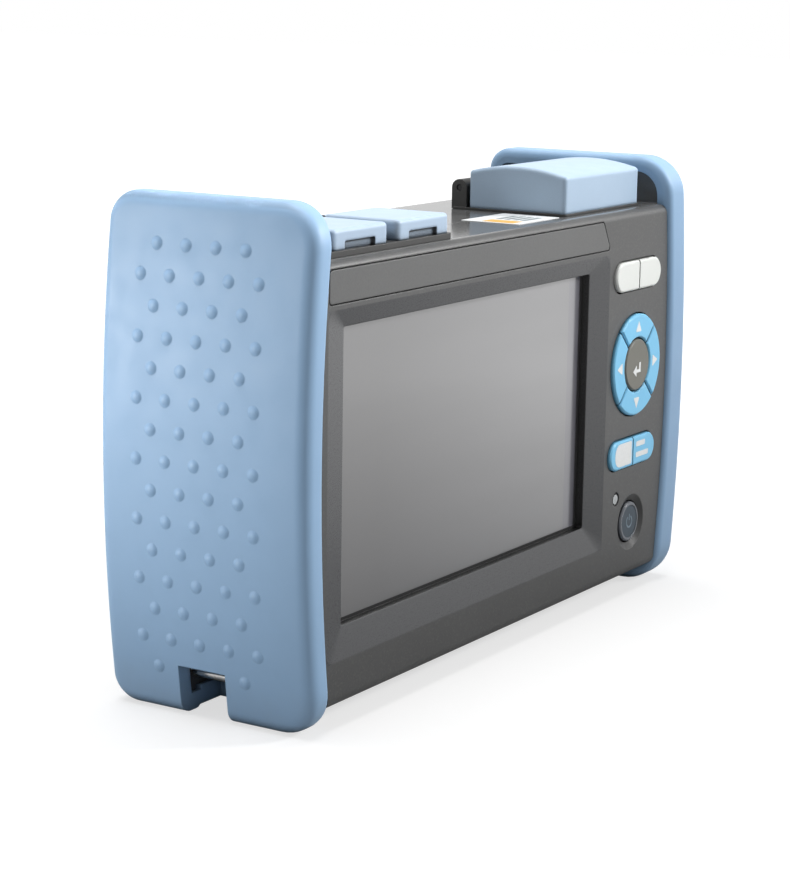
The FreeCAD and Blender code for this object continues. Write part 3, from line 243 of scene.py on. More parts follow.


# %% [markdown]
# The keys, the ring and the disc have a fine grain and small soft edges. The caps' finger slots have to
# look deep, so the caps take a long reach and almost black painted shade in their gaps. The optical
# cover is the same plastic with larger edges.

# %% Moulded finishes for the record's slots
KEY = {"grain_mm": 0.12, "grain_depth_mm": 0.003}
RING = {"grain_mm": 0.2, "grain_depth_mm": 0.003}
LID = {"grain_mm": 0.3, "grain_depth_mm": 0.004, "mottle": 0.02}
finishes = {
    "keypad_rubber": moulded("keypad_rubber", (0.02, 0.02, 0.022), 0.7, 0.3, 0.01),
    "white_key": moulded("white_key_rubber", (0.84, 0.86, 0.83), 0.45, edge_mm=0.5, mottle=0.02,
                         gap_shade=0.5, **KEY),
    "blue_key": moulded("blue_key_rubber", (0.235, 0.66, 0.99), 0.4, edge_mm=0.5, mottle=0.03,
                        gap_shade=0.3, **KEY),
    "dark_key": moulded("enter_key_rubber", (0.178, 0.176, 0.150), 0.45, edge_mm=0.4, mottle=0.04, **KEY),
    "power_ring": moulded("power_ring_plastic", (0.165, 0.180, 0.205), 0.3, edge_mm=0.4, **RING),
    "power_disc": moulded("power_disc_plastic", (0.028, 0.052, 0.076), 0.35, edge_mm=0.1, **RING),
    "dark_plastic": moulded("port_base_plastic", (0.030, 0.030, 0.029), 0.45, 0.3, 0.008, edge_mm=0.3),
    # The caps' slots and gaps get deep painted shade.
    "cap_plastic": moulded("cap_plastic", (0.435, 0.555, 0.70), 0.4, edge_mm=0.9, gap_shade=0.06,
                           reach_mm=3.0, shut=0.66, clear=0.94, **LID),
    "cover_plastic": moulded("cover_plastic", (0.42, 0.55, 0.70), 0.38, edge_mm=1.2, gap_shade=0.42, **LID),
    "adapter_plastic": moulded("fibre_adapter_plastic", (0.02, 0.12, 0.36), 0.35, 0.4, 0.004, edge_mm=0.15),
    "board": moulded("board_solder_mask", (0.012, 0.09, 0.03), 0.3, 1.2, 0.01, edge_mm=0.1, mottle=0.2),
    "battery_wrap": moulded("battery_wrap", (0.02, 0.02, 0.022), 0.35, 2.5, 0.02, edge_mm=0.5),
    "lcd": moulded("display_module", (0.09, 0.09, 0.1), 0.3, 0.3, 0.002, edge_mm=0.2),
}
print("moulded finishes:", len(finishes))

# %% [markdown]
# ## The case's spark texture
#
# The case halves have a fine spark-eroded texture with a faint metallic fleck in the plastic: at an angle
# it glitters in small warm points. Cells from a Voronoi texture pick out single flecks, which noise alone
# would smear. The bevel round the screen and the deck are smoother than the rest, the deck gets painted
# light, and the window's walls, the power key's well and all gaps get painted shade. One material covers
# all of this: masks made from the CAD sizes say where each zone is, so no mesh has to be cut.

# %% Where the case's zones are
SCREEN_LOW, SCREEN_HIGH = span_mm("touch_panel")
PANEL_MARGIN = 2.2
BEVEL_LEFT, BEVEL_RIGHT, BEVEL_TOP, BEVEL_FOOT = 8.0, 8.5, 4.2, 7.2
BEVEL_X = (SCREEN_LOW.x + PANEL_MARGIN - BEVEL_LEFT, SCREEN_HIGH.x - PANEL_MARGIN + BEVEL_RIGHT)
BEVEL_Z = (SCREEN_LOW.z + PANEL_MARGIN - BEVEL_FOOT, SCREEN_HIGH.z - PANEL_MARGIN + BEVEL_TOP)
CASE_FRONT = span_mm("front_case")[0].y
BEVEL_DEPTH = 1.5
SLACK = 0.05
WINDOW_BACK = SCREEN_LOW.y + 0.5
DECK_Z = span_mm("port_plinth")[0].z
DECK_SKIN = 0.15
DISC_LOW, DISC_HIGH = span_mm("power_key_disc")
POWER_X = (DISC_LOW.x + DISC_HIGH.x) / 2
POWER_Z = (DISC_LOW.z + DISC_HIGH.z) / 2
WELL_RADIUS = 7.5
FAR_MM = 1000.0
print("bevel runs over x", [round(v, 1) for v in BEVEL_X], "z", [round(v, 1) for v in BEVEL_Z])


def bevel_masks(tree, place):
    """Where the smooth bevel is, and where the walls between bevel and screen are, which get painted shade.
    """
    axes = axes_of(tree, place)
    across = times(tree, inside(tree, axes["X"], *BEVEL_X), inside(tree, axes["Z"], *BEVEL_Z))
    in_front = inside(tree, axes["Y"], -FAR_MM, WINDOW_BACK)
    behind_bevel = inside(tree, axes["Y"], CASE_FRONT + BEVEL_DEPTH + SLACK, WINDOW_BACK)
    return times(tree, across, in_front), times(tree, across, behind_bevel)


def well_mask(tree, place):
    """1 on the dished wall of the well round the power key."""
    centred = add(tree, "VectorMath", {0: place, 1: (-POWER_X * MM, 0.0, -POWER_Z * MM)}, operation="ADD")
    flat = add(tree, "VectorMath", {0: centred.outputs[0], 1: (1.0, 0.0, 1.0)}, operation="MULTIPLY")
    away = add(tree, "VectorMath", {0: flat.outputs[0]}, operation="LENGTH").outputs["Value"]
    behind_face = inside(tree, axes_of(tree, place)["Y"], CASE_FRONT + 0.08, 0.0)
    return times(tree, inside(tree, away, -1.0, WELL_RADIUS), behind_face)


# %% [markdown]
# The texture is built up in layers: two sizes of grain for the bumps, dark pits between them and single
# flecks on top. The zones are only mixed in for the case pieces. The thin strip above the window has the
# same finish in a lighter grey, without them.

# %% The case finish
COARSE_MM, FINE_MM = 0.30, 0.14
FLECK_SHARE = (0.82, 0.98)
COARSE_DEPTH, FINE_DEPTH, SMOOTH_DEPTH = 0.014, 0.006, 0.002
BEVEL_POLISH, DECK_POLISH = 0.10, 0.26
BEVEL_GREY = (0.062, 0.064, 0.068)
# Painted shade: the window's walls are painted almost black.
WINDOW_WALL_SHADE = (0.010, 0.010, 0.010)
# Painted light: the deck is painted lighter, towards twice the case grey.
DECK_PAINTED_LIGHT, DECK_LIGHT_SHARE = 2.0, 0.6
# Painted shade: the well round the power key is painted darker.
WELL_SHADE = 0.4


def case_finish(name, colour, fleck_colour, with_zones):
    """Spark texture with flecks; with_zones adds the bevel, the deck, the window's walls and the well."""
    material, tree, shader, place = new_finish(name)
    coarse = grain(tree, place, COARSE_MM, 2.0)
    fine = grain(tree, place, FINE_MM, 2.0)
    broad = grain(tree, place, 30.0, 3.0)
    cells = add(tree, "TexVoronoi", {"Vector": place, "Scale": 1.0 / (COARSE_MM * MM)})
    pick = add(tree, "SeparateColor", {"Color": cells.outputs["Color"]}).outputs["Red"]
    fleck = between(tree, pick, 0.0, 0.5, *FLECK_SHARE)
    base = blend(tree, between(tree, broad, 0.0, 1.0), shade(colour, 0.95), shade(colour, 1.05))
    pits = blend(tree, between(tree, coarse, 0.30, 0.0, 0.3, 0.6), base, shade(colour, 0.55))
    rounded = soft_edges(tree, 0.45)
    skin = bump(tree, fine, FINE_DEPTH, bump(tree, coarse, COARSE_DEPTH, rounded, 0.8), 0.6)
    gloss = between(tree, fine, 0.34, 0.46)
    if with_zones:
        bevel, wall = bevel_masks(tree, place)
        deck = inside(tree, axes_of(tree, place)["Z"], DECK_Z - DECK_SKIN, FAR_MM)
        smooth = add(tree, "Math", {0: bevel, 1: deck}, operation="MAXIMUM").outputs[0]
        polish = plus(tree, times(tree, bevel, BEVEL_POLISH), times(tree, deck, DECK_POLISH))
        gloss = minus(tree, gloss, polish)
        fleck = times(tree, fleck, minus(tree, 1.0, bevel))
        pits = blend(tree, bevel, pits, BEVEL_GREY)
        skin_choice = add(tree, "Mix", data_type="VECTOR")
        tree.links.new(smooth, skin_choice.inputs[FACTOR])
        tree.links.new(skin, skin_choice.inputs[VECTOR_A])
        tree.links.new(bump(tree, fine, SMOOTH_DEPTH, rounded), skin_choice.inputs[VECTOR_B])
        skin = skin_choice.outputs[VECTOR_OUT]
    flecked = blend(tree, fleck, pits, fleck_colour)
    # Painted shade: gaps and inner corners darken to a quarter of the colour.
    open_area = between(tree, crevices(tree, 2.0), 0.0, 1.0, 0.2, 0.8)
    with_painted_light = blend(tree, open_area, shade(colour, 0.25), flecked)
    if with_zones:
        # Painted light: the deck is painted lighter.
        with_painted_light = blend(tree, times(tree, deck, DECK_LIGHT_SHARE), with_painted_light, shade(colour, DECK_PAINTED_LIGHT))
        # Painted shade: the window's walls are painted almost black, and the power key's well darker.
        with_painted_light = blend(tree, wall, with_painted_light, WINDOW_WALL_SHADE)
        with_painted_light = blend(tree, well_mask(tree, place), with_painted_light, shade(colour, WELL_SHADE))
    tree.links.new(with_painted_light, shader.inputs["Base Color"])
    tree.links.new(gloss, shader.inputs["Roughness"])
    tree.links.new(skin, shader.inputs["Normal"])
    return material


CASE_GREY = (0.074, 0.075, 0.075)
FLECK_WARM = (0.125, 0.124, 0.116)
finishes["case_plastic"] = case_finish("case_spark_plastic", CASE_GREY, FLECK_WARM, True)
STRIP_GREY = shade(CASE_GREY, 1.5)
finishes["strip_plastic"] = case_finish("strip_spark_plastic", STRIP_GREY, FLECK_WARM, False)
print("case finishes:", finishes["case_plastic"].name, finishes["strip_plastic"].name)

# %% [markdown]
# ## Steel and the tinned screen
#
# The strap bars, screws, stand pins and connector shells are bright steel: metallic, with fine drawing
# lines from front to rear. A noise that is stretched in one direction gives such lines. The optical
# module has a tinned screen, with its lines from side to side. The hinge pins of the caps and of the
# optical cover are blackened, so they vanish in their lugs.


# %% Metals
LINES_PER_METRE = 2600.0
ALONG_Y, ALONG_X = (1.0, 0.06, 1.0), (0.08, 1.0, 1.0)


def drawn_metal(name, colour, roughness, stretch):
    """Metal with fine parallel lines; they run along the axis that has the small number in stretch."""
    material, tree, shader, place = new_finish(name, Metallic=1.0)
    lines = add(tree, "Mapping", {"Vector": place, "Scale": stretch}).outputs["Vector"]
    streak = add(tree, "TexNoise", {"Vector": lines, "Scale": LINES_PER_METRE, "Detail": 3.0}).outputs["Fac"]
    spots = grain(tree, place, 1.5, 4.0)
    tone = blend(tree, between(tree, spots, 0.0, 1.0), shade(colour, 0.82), colour)
    tree.links.new(tone, shader.inputs["Base Color"])
    tree.links.new(between(tree, streak, roughness - 0.06, roughness + 0.1), shader.inputs["Roughness"])
    tree.links.new(bump(tree, streak, 0.0008, soft_edges(tree, 0.12)), shader.inputs["Normal"])
    return material


finishes["steel"] = drawn_metal("bright_steel", (0.66, 0.65, 0.63), 0.24, ALONG_Y)
finishes["blackened_steel"] = drawn_metal("blackened_steel", (0.045, 0.045, 0.047), 0.4, ALONG_Y)
finishes["module_metal"] = drawn_metal("tinned_screen", (0.6, 0.61, 0.6), 0.35, ALONG_X)
print("metals:", [finishes[slot].name for slot in ("steel", "blackened_steel", "module_metal")])

# %% [markdown]
# ## The status lamp
#
# The status lamp is a clear lens over an unlit diode, so it keeps a high gloss and a pale body.

# %% The lamp finish
lamp, lamp_tree, lamp_shader, lamp_place = new_finish("lamp_lens", Coat_Weight=1.0, Coat_Roughness=0.05)
lamp_tone = blend(lamp_tree, between(lamp_tree, grain(lamp_tree, lamp_place, 0.9), 0.0, 1.0),
                  (0.36, 0.39, 0.40), (0.56, 0.59, 0.60))
lamp_tree.links.new(lamp_tone, lamp_shader.inputs["Base Color"])
lamp_tree.links.new(between(lamp_tree, grain(lamp_tree, lamp_place, 0.2), 0.12, 0.25),
                    lamp_shader.inputs["Roughness"])
finishes["led"] = lamp
print("lamp finish:", lamp.name)

# %% [markdown]
# ## The screen film
#
# Under the window lies a touch film over an unlit display. Switched off, such a screen is a neutral grey
# with a soft sheen: the film is slightly matt, and the surfaces below it reflect as well, so the index is
# high and a coat stands for the film's top face. A painted reflection makes the display lighter towards
# its right end. Past the active area comes a pale border, then a dark band on the right and a dark foot
# edge.
# Faint broad bands of painted reflection cross it and vary its gloss: a stretched film is never flat.


# %% The screen finish
DISPLAY_LEFT, DISPLAY_RIGHT = -55.0, 31.6
BORDER_RIGHT = 37.2
FOOT_EDGE = 23.5
DISPLAY_DARK, DISPLAY_LIGHT = (0.058, 0.058, 0.062), (0.155, 0.155, 0.163)
BORDER_TONE, BAND_TONE, FOOT_TONE = (0.110, 0.108, 0.130), (0.030, 0.030, 0.032), (0.005, 0.005, 0.005)
DUST_TONE, BLACK = (0.2, 0.2, 0.2), (0.0, 0.0, 0.0)


def screen_finish():
    material, tree, shader, place = new_finish("touch_film", IOR=2.1, Coat_Weight=1.0, Coat_Roughness=0.12,
                                               Coat_IOR=1.8)
    axes = axes_of(tree, place)
    wide = add(tree, "Mapping", {"Vector": place, "Scale": (0.08, 1.0, 1.0)}).outputs["Vector"]
    bands = add(tree, "TexNoise", {"Vector": wide, "Scale": 90.0, "Detail": 1.0}).outputs["Fac"]
    cloud = grain(tree, place, 60.0, 1.0)
    dust = grain(tree, place, 0.25, 2.0)
    # Painted reflection: the display's colour grows lighter towards its right end.
    across = between(tree, axes["X"], 0.0, 1.0, DISPLAY_LEFT * MM, DISPLAY_RIGHT * MM)
    display = blend(tree, across, DISPLAY_DARK, DISPLAY_LIGHT)
    # Painted reflection: broad bands darken the colour.
    banded = blend(tree, between(tree, bands, 0.0, 0.16, 0.2, 0.8), display, BLACK)
    clouded = blend(tree, between(tree, cloud, 0.0, 0.10), banded, BLACK)
    speckled = blend(tree, between(tree, dust, 0.0, 0.06, 0.55, 0.75), clouded, DUST_TONE)
    bordered = blend(tree, greater(tree, axes["X"], DISPLAY_RIGHT), speckled, BORDER_TONE)
    edged = blend(tree, greater(tree, axes["X"], BORDER_RIGHT), bordered, BAND_TONE)
    footed = blend(tree, less(tree, axes["Z"], FOOT_EDGE), edged, FOOT_TONE)
    tree.links.new(footed, shader.inputs["Base Color"])
    tree.links.new(between(tree, bands, 0.28, 0.36), shader.inputs["Roughness"])
    tree.links.new(bump(tree, dust, 0.0005), shader.inputs["Normal"])
    return material


finishes["screen_film"] = screen_finish()
print("display border over x", DISPLAY_RIGHT, "to", BORDER_RIGHT)

# %% [markdown]
# ## Dress the CAD pieces
#
# The record says which finish each piece takes, apart from a few pieces that have their own here. Every
# piece keeps its CAD mesh, and only the material in its slot changes. The meshes have separate points for
# each CAD face, so smooth shading leaves the real edges crisp.

# %% Give every CAD piece its finish
slot_of = {part["node"]: part["material_slot"] for part in frame["record"]["subparts"]}
own_finish = {"optical_cover": "cover_plastic", "cover_pin": "blackened_steel",
              "port_cap_pins": "blackened_steel"}
for name, piece in frame["nodes"].items():
    if slot_of[name] not in finishes:
        continue
    piece.data.materials.clear()
    piece.data.materials.append(finishes[own_finish.get(name, slot_of[name])])
    for face in piece.data.polygons:
        face.use_smooth = True
print("dressed", sum(slot_of[n] in finishes for n in frame["nodes"]), "pieces")

# %% [markdown]
# ## Bumper rubber
#
# The boots are a soft thermoplastic rubber in a dusty light blue. It is satin, with a very fine mould
# grain, and it scatters light a little at grazing angles, which a low sheen gives. Hands leave the bowed
# face slightly polished and the foot slightly dusty, and gaps and inner corners get painted shade.


# %% The rubber finish
RUBBER_BLUE = (0.300, 0.475, 0.695)
RUBBER_DUST = (0.33, 0.40, 0.47)
DUST_FADES_AT = 0.012


def boot_finish():
    material, tree, shader, place = new_finish("boot_rubber", Sheen_Weight=0.2, Sheen_Roughness=0.4)
    shader.inputs["Sheen Tint"].default_value = (0.75, 0.88, 1.0, 1.0)
    broad = grain(tree, place, 38.0, 3.0)
    smudge = grain(tree, place, 6.0, 5.0)
    fine = grain(tree, place, 0.22, 3.0)
    even = blend(tree, between(tree, broad, 0.0, 1.0), shade(RUBBER_BLUE, 0.965), shade(RUBBER_BLUE, 1.035))
    handled = blend(tree, between(tree, smudge, 0.0, 0.3, 0.5, 0.8), even, shade(RUBBER_BLUE, 0.93))
    low = between(tree, axes_of(tree, place)["Z"], 0.25, 0.0, 0.0, DUST_FADES_AT)
    dusty = blend(tree, times(tree, low, between(tree, smudge, 0.3, 1.0)), handled, RUBBER_DUST)
    # Painted shade: gaps and inner corners darken to a third of the blue.
    open_area = between(tree, crevices(tree, 3.0), 0.0, 1.0, 0.2, 0.9)
    tree.links.new(blend(tree, open_area, shade(RUBBER_BLUE, 0.35), dusty), shader.inputs["Base Color"])
    tree.links.new(between(tree, smudge, 0.46, 0.56), shader.inputs["Roughness"])
    tree.links.new(bump(tree, fine, 0.004, soft_edges(tree, 0.4), 0.7), shader.inputs["Normal"])
    return material


finishes["bumper_rubber"] = boot_finish()
print("boot finish:", finishes["bumper_rubber"].name)

# %% [markdown]
# ## The two boots
#
# Each boot is a shallow cup with a bowed face, a rolled rim and rows of low beads. In rubber all of this
# flows together, so the boots are made again here as smooth meshes in the same place and size as the CAD
# ones.
#
# A boot is a stack of rings. Every ring is the same rounded rectangle, drawn in by an inset and moved in
# by a depth, and each point slides sideways with its height to follow the bow. Walking the inset and
# depth round a quarter circle gives the rolled rim. The rear corners are tighter than the front ones.
# Every ring has the same number of points, so neighbours join with quads, and the face is closed by
# strips from the front side to the rear side.

# %% Measures of a boot
LEFT, RIGHT = -1, 1
BOOT_HIGH = span_mm("left_bumper")[1]
HALF_DEPTH = BOOT_HIGH.y
BOOT_TOP = BOOT_HIGH.z
BEAD_RISE = 0.5
BEAD_RADIUS = 1.5
FACE_X = span_mm("right_bumper")[1].x - BEAD_RISE
MIDDLE_Z = BOOT_TOP / 2
BOW = 4.3
BOW_RADIUS = (MIDDLE_Z ** 2 + BOW ** 2) / (2 * BOW)
FRONT_CORNER = 10.0
REAR_CORNER = 6.5
RIM = 3.0
LIP_EDGE = 2.2
RUBBER_WALL = 4.0
LIP_WIDTH = {LEFT: 7.4, RIGHT: 10.4}
LAND = 0.5
LIP_LAND = 0.4
LIP_FLAT = 0.3
CORNER_STEPS = 12
SIDE_STEPS = 40
RIM_STEPS = 8
LIP_STEPS = 4
print("boot height and depth:", round(BOOT_TOP, 1), round(2 * HALF_DEPTH, 1), "face at", round(FACE_X, 1))


def bow(z):
    """How far the face has come in at height z."""
    return BOW_RADIUS - math.sqrt(BOW_RADIUS ** 2 - (z - MIDDLE_Z) ** 2)


# %% [markdown]
# The rear half of a ring is worked out from bottom to top, and the front half is its mirror image. That
# keeps every front point level with a rear point, which the closing strips need.


# %% Rings and strips
def half_outline(corner, inset):
    """Points (y, z) up one half of a ring, from the foot to the top."""
    radius = corner - inset
    reach = HALF_DEPTH - corner
    low, high = corner, BOOT_TOP - corner
    points = []
    for step in range(CORNER_STEPS + 1):
        angle = math.radians(90 * step / CORNER_STEPS - 90)
        points.append((reach + radius * math.cos(angle), low + radius * math.sin(angle)))
    for step in range(1, SIDE_STEPS):
        points.append((reach + radius, low + (high - low) * step / SIDE_STEPS))
    for step in range(CORNER_STEPS + 1):
        angle = math.radians(90 * step / CORNER_STEPS)
        points.append((reach + radius * math.cos(angle), high + radius * math.sin(angle)))
    return points


def ring_outline(inset):
    """Up the rear half, then down the front half, with as many points on each."""
    front = [(-y, z) for y, z in half_outline(FRONT_CORNER, inset)]
    return half_outline(REAR_CORNER, inset) + front[::-1]


def boot_profile(lip):
    """Inset and depth of each ring, from the bowed face round the rim and the lip to the hollow's floor."""
    rings = [(RIM + LAND, 0.0)]
    for step in range(RIM_STEPS + 1):
        angle = math.radians(90 * step / RIM_STEPS)
        rings.append((RIM * (1 - math.sin(angle)), RIM * (1 - math.cos(angle))))
    rings.append((0.0, RIM + LIP_LAND))
    for step in range(LIP_STEPS + 1):
        angle = math.radians(90 * step / LIP_STEPS)
        rings.append((LIP_EDGE * (1 - math.cos(angle)), lip - LIP_EDGE + LIP_EDGE * math.sin(angle)))
    rings.append((LIP_EDGE + LIP_FLAT, lip))
    rings.append((RUBBER_WALL, lip))
    rings.append((RUBBER_WALL, RUBBER_WALL))
    return rings


def add_ring(mesh, side, inset, depth):
    return [mesh.verts.new(Vector((side * (FACE_X - bow(z) - depth), y, z)) * MM)
            for y, z in ring_outline(inset)]


def close_with_strips(mesh, ring):
    """Fill a ring with level strips from its rear points to its front points."""
    count = len(ring)
    for i in range(count // 2 - 1):
        mesh.faces.new((ring[i], ring[i + 1], ring[count - 2 - i], ring[count - 1 - i]))


def boot_shell(side):
    mesh = bmesh.new()
    rings = [add_ring(mesh, side, inset, depth) for inset, depth in boot_profile(LIP_WIDTH[side])]
    close_with_strips(mesh, rings[0])
    for outer, inner in zip(rings, rings[1:]):
        for i in range(len(outer)):
            mesh.faces.new((outer[i - 1], outer[i], inner[i], inner[i - 1]))
    close_with_strips(mesh, rings[-1])
    bmesh.ops.recalc_face_normals(mesh, faces=mesh.faces)
    return mesh


# %% [markdown]
# The beads stand in staggered rows of four and five, with two more beside the strap notch. Each is a
# shallow cap of a ball, tilted to stand square on the bow, with a short root inside the rubber so that a
# boolean union can weld it on. The notch is cut last, right through the lower edge.

# %% Beads and notch
BEAD_PITCH_Y = 7.85
BEAD_PITCH_Z = 6.76
BEAD_ROWS = 14
BEAD_TOP_Z = BOOT_TOP - 10.7
GRID_Y = 1.5
NOTCH_WIDTH = 12.8
NOTCH_TOP = 11.6
BEAD_TURNS = 28
BEAD_RINGS = 5
BEAD_ROOT = 0.3


def bead_places():
    places = []
    for row in range(BEAD_ROWS):
        count = 4 + row % 2
        z = BEAD_TOP_Z - row * BEAD_PITCH_Z
        places += [(GRID_Y + (k - (count - 1) / 2) * BEAD_PITCH_Y, z) for k in range(count)]
    z = BEAD_TOP_Z - BEAD_ROWS * BEAD_PITCH_Z
    return places + [(GRID_Y - 1.5 * BEAD_PITCH_Y, z), (GRID_Y + 1.5 * BEAD_PITCH_Y, z)]


def add_bead(mesh, side, y, z):
    """A ball cap whose top touches the full rise, with a straight root."""
    ball = (BEAD_RADIUS ** 2 + BEAD_RISE ** 2) / (2 * BEAD_RISE)
    lean = math.atan2(z - MIDDLE_Z, math.sqrt(BOW_RADIUS ** 2 - (z - MIDDLE_Z) ** 2))
    out = Vector((side * math.cos(lean), 0, math.sin(lean)))
    up = Vector((-side * math.sin(lean), 0, math.cos(lean)))
    across = Vector((0, 1, 0))
    foot = Vector((side * (FACE_X - bow(z)), y, z))
    opening = math.asin(BEAD_RADIUS / ball)
    levels = [(BEAD_RADIUS, -BEAD_ROOT)]
    for step in range(BEAD_RINGS):
        angle = opening * (1 - step / BEAD_RINGS)
        levels.append((ball * math.sin(angle), BEAD_RISE - ball * (1 - math.cos(angle))))
    rings = []
    for radius, height in levels:
        turns = [2 * math.pi * k / BEAD_TURNS for k in range(BEAD_TURNS)]
        rings.append([mesh.verts.new((foot + out * height + across * radius * math.cos(a)
                                      + up * radius * math.sin(a)) * MM) for a in turns])
    crown = mesh.verts.new((foot + out * BEAD_RISE) * MM)
    mesh.faces.new(rings[0])
    for lower, upper in zip(rings, rings[1:]):
        for i in range(BEAD_TURNS):
            mesh.faces.new((lower[i - 1], lower[i], upper[i], upper[i - 1]))
    for i in range(BEAD_TURNS):
        mesh.faces.new((rings[-1][i - 1], rings[-1][i], crown))


def to_object(mesh, name):
    """Turn a bmesh into an object in the scene."""
    bmesh.ops.recalc_face_normals(mesh, faces=mesh.faces)
    data = bpy.data.meshes.new(name)
    mesh.to_mesh(data)
    mesh.free()
    piece = bpy.data.objects.new(name, data)
    bpy.context.scene.collection.objects.link(piece)
    return piece


def add_block(mesh, low, high):
    """A plain block between two corners in millimetres."""
    box = bmesh.ops.create_cube(mesh, size=1.0)
    size = Vector(high) - Vector(low)
    middle = (Vector(high) + Vector(low)) / 2
    bmesh.ops.transform(mesh, matrix=Matrix.Translation(middle * MM) @ Matrix.Diagonal((*(size * MM), 1.0)),
                        verts=box["verts"])


def join_shapes(piece, tool, operation):
    """Apply a boolean with another object and remove that object."""
    step = piece.modifiers.new(operation.lower(), "BOOLEAN")
    step.operation = operation
    step.solver = "EXACT"
    step.object = tool
    bake(piece)
    bpy.data.objects.remove(tool)


def bake(piece):
    """Replace a piece's mesh by what its modifiers make of it."""
    bpy.context.view_layer.update()
    shown = piece.evaluated_get(bpy.context.evaluated_depsgraph_get())
    data = bpy.data.meshes.new_from_object(shown)
    piece.modifiers.clear()
    piece.data = data


# %% [markdown]
# Behind the notch the rubber runs on under the case, as a low guard on three sides of the strap. It
# starts as a solid block: the notch, cut deeper than the lip, hollows it out. Its top has a step, because
# it passes under the case end first and then under the case.

# %% The strap guard
GUARD_DEEP = 8.8
GUARD_WALL = 1.8
GUARD_FOOT = 0.6
GUARD_LOW_TOP = 4.0
GUARD_TOP = 5.1
GUARD_LAP = 4.0
GUARD_STEP = 0.4
BELOW_FLOOR = -2
PAST_FACE = 1.1


def guard_end(side):
    """Distance of the guard's inner end from the middle of the instrument."""
    return FACE_X - LIP_WIDTH[side] - bow(GUARD_FOOT) - GUARD_DEEP


def strap_guard(side):
    mesh = bmesh.new()
    inner = guard_end(side)
    lip = inner + GUARD_DEEP
    step, end = lip + GUARD_STEP, lip + GUARD_LAP
    profile = [(inner, GUARD_FOOT), (end, GUARD_FOOT), (end, GUARD_LOW_TOP), (step, GUARD_LOW_TOP),
               (step, GUARD_TOP), (inner, GUARD_TOP)]
    half = NOTCH_WIDTH / 2 + GUARD_WALL
    front = [mesh.verts.new(Vector((side * x, GRID_Y - half, z)) * MM) for x, z in profile]
    rear = [mesh.verts.new(Vector((side * x, GRID_Y + half, z)) * MM) for x, z in profile]
    mesh.faces.new(front)
    mesh.faces.new(rear[::-1])
    for i in range(len(profile)):
        mesh.faces.new((front[i - 1], front[i], rear[i], rear[i - 1]))
    return mesh


# %% [markdown]
# After the booleans the wide bowed face is cut into many small faces. Its shading stays calm only if the
# large faces decide the normals, so a weighted normal modifier is added, and edges sharper than 30
# degrees stay crisp.

# %% Make both boots
SHARP = math.radians(30)
SAME_POINT = 0.002
LARGE_FACES_LEAD = 80


def smooth_shading(piece):
    """Smooth faces, sharp edges above the limit, and normals led by the large faces."""
    mesh = bmesh.new()
    mesh.from_mesh(piece.data)
    bmesh.ops.remove_doubles(mesh, verts=mesh.verts, dist=SAME_POINT * MM)
    for edge in mesh.edges:
        edge.smooth = edge.is_manifold and edge.calc_face_angle(0) < SHARP
    for face in mesh.faces:
        face.smooth = True
    mesh.to_mesh(piece.data)
    mesh.free()
    even = piece.modifiers.new("even_normals", "WEIGHTED_NORMAL")
    even.keep_sharp = True
    even.weight = LARGE_FACES_LEAD


def make_boot(side, name, node):
    boot = to_object(boot_shell(side), name)
    beads = bmesh.new()
    for y, z in bead_places():
        add_bead(beads, side, y, z)
    join_shapes(boot, to_object(beads, "beads"), "UNION")
    join_shapes(boot, to_object(strap_guard(side), "guard"), "UNION")
    notch = bmesh.new()
    low_x, high_x = sorted((side * (guard_end(side) + GUARD_WALL), side * FACE_X * PAST_FACE))
    add_block(notch, (low_x, GRID_Y - NOTCH_WIDTH / 2, BELOW_FLOOR),
              (high_x, GRID_Y + NOTCH_WIDTH / 2, NOTCH_TOP))
    join_shapes(boot, to_object(notch, "notch"), "DIFFERENCE")
    smooth_shading(boot)
    boot.data.materials.clear()
    boot.data.materials.append(finishes["bumper_rubber"])
    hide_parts(node)
    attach(boot, "instrument")
    print(name, "faces:", len(boot.data.polygons))
    return boot


boots = [make_boot(LEFT, "left_boot", "left_bumper"), make_boot(RIGHT, "right_boot", "right_bumper")]

# %% [markdown]
# ## Printed symbols on the keys
#
# The keys carry white printing: a triangle on each direction key, a return arrow on the middle key, a
# power sign on the disc and pale blocks on the two halves of the lower pill. Printing is a film of ink,
# so each symbol is a thin plate that stands a few hundredths of a millimetre proud of the key. It rides
# on the key's own body and so goes in with it when the key is pressed. A plate is an outline pulled
# straight back, and most outlines get small rounded corners first.


# %% Ink and the plate maker
def ink_finish(name, colour, roughness=0.5):
    material, tree, shader, place = new_finish(name)
    patchy = grain(tree, place, 0.5, 4.0)
    tone = blend(tree, between(tree, patchy, 0.0, 1.0), shade(colour, 0.94), colour)
    tree.links.new(tone, shader.inputs["Base Color"])
    tree.links.new(between(tree, patchy, roughness - 0.05, roughness + 0.05), shader.inputs["Roughness"])
    tree.links.new(bump(tree, grain(tree, place, 0.1), 0.002), shader.inputs["Normal"])
    return material


white_ink = ink_finish("white_ink", (0.93, 0.95, 0.95))
pale_ink = ink_finish("power_sign_ink", (0.19, 0.25, 0.30))
INK = 0.04
INK_ROOT = 0.01


def printed(name, outlines, face_y, ink, body):
    """Thin plates facing the user, from outlines of (x, z) points in millimetres."""
    mesh = bmesh.new()
    for outline in outlines:
        back = [mesh.verts.new(Vector((x, face_y + INK_ROOT, z)) * MM) for x, z in outline]
        front = [mesh.verts.new(Vector((x, face_y - INK, z)) * MM) for x, z in outline]
        mesh.faces.new(front)
        mesh.faces.new(back[::-1])
        for i in range(len(outline)):
            mesh.faces.new((front[i - 1], front[i], back[i], back[i - 1]))
    plate = to_object(mesh, name)
    plate.data.materials.append(ink)
    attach(plate, body)
    return plate


def rectangle(left, right, foot, top):
    """Corners in order, from the lower left."""
    return [(left, foot), (right, foot), (right, top), (left, top)]


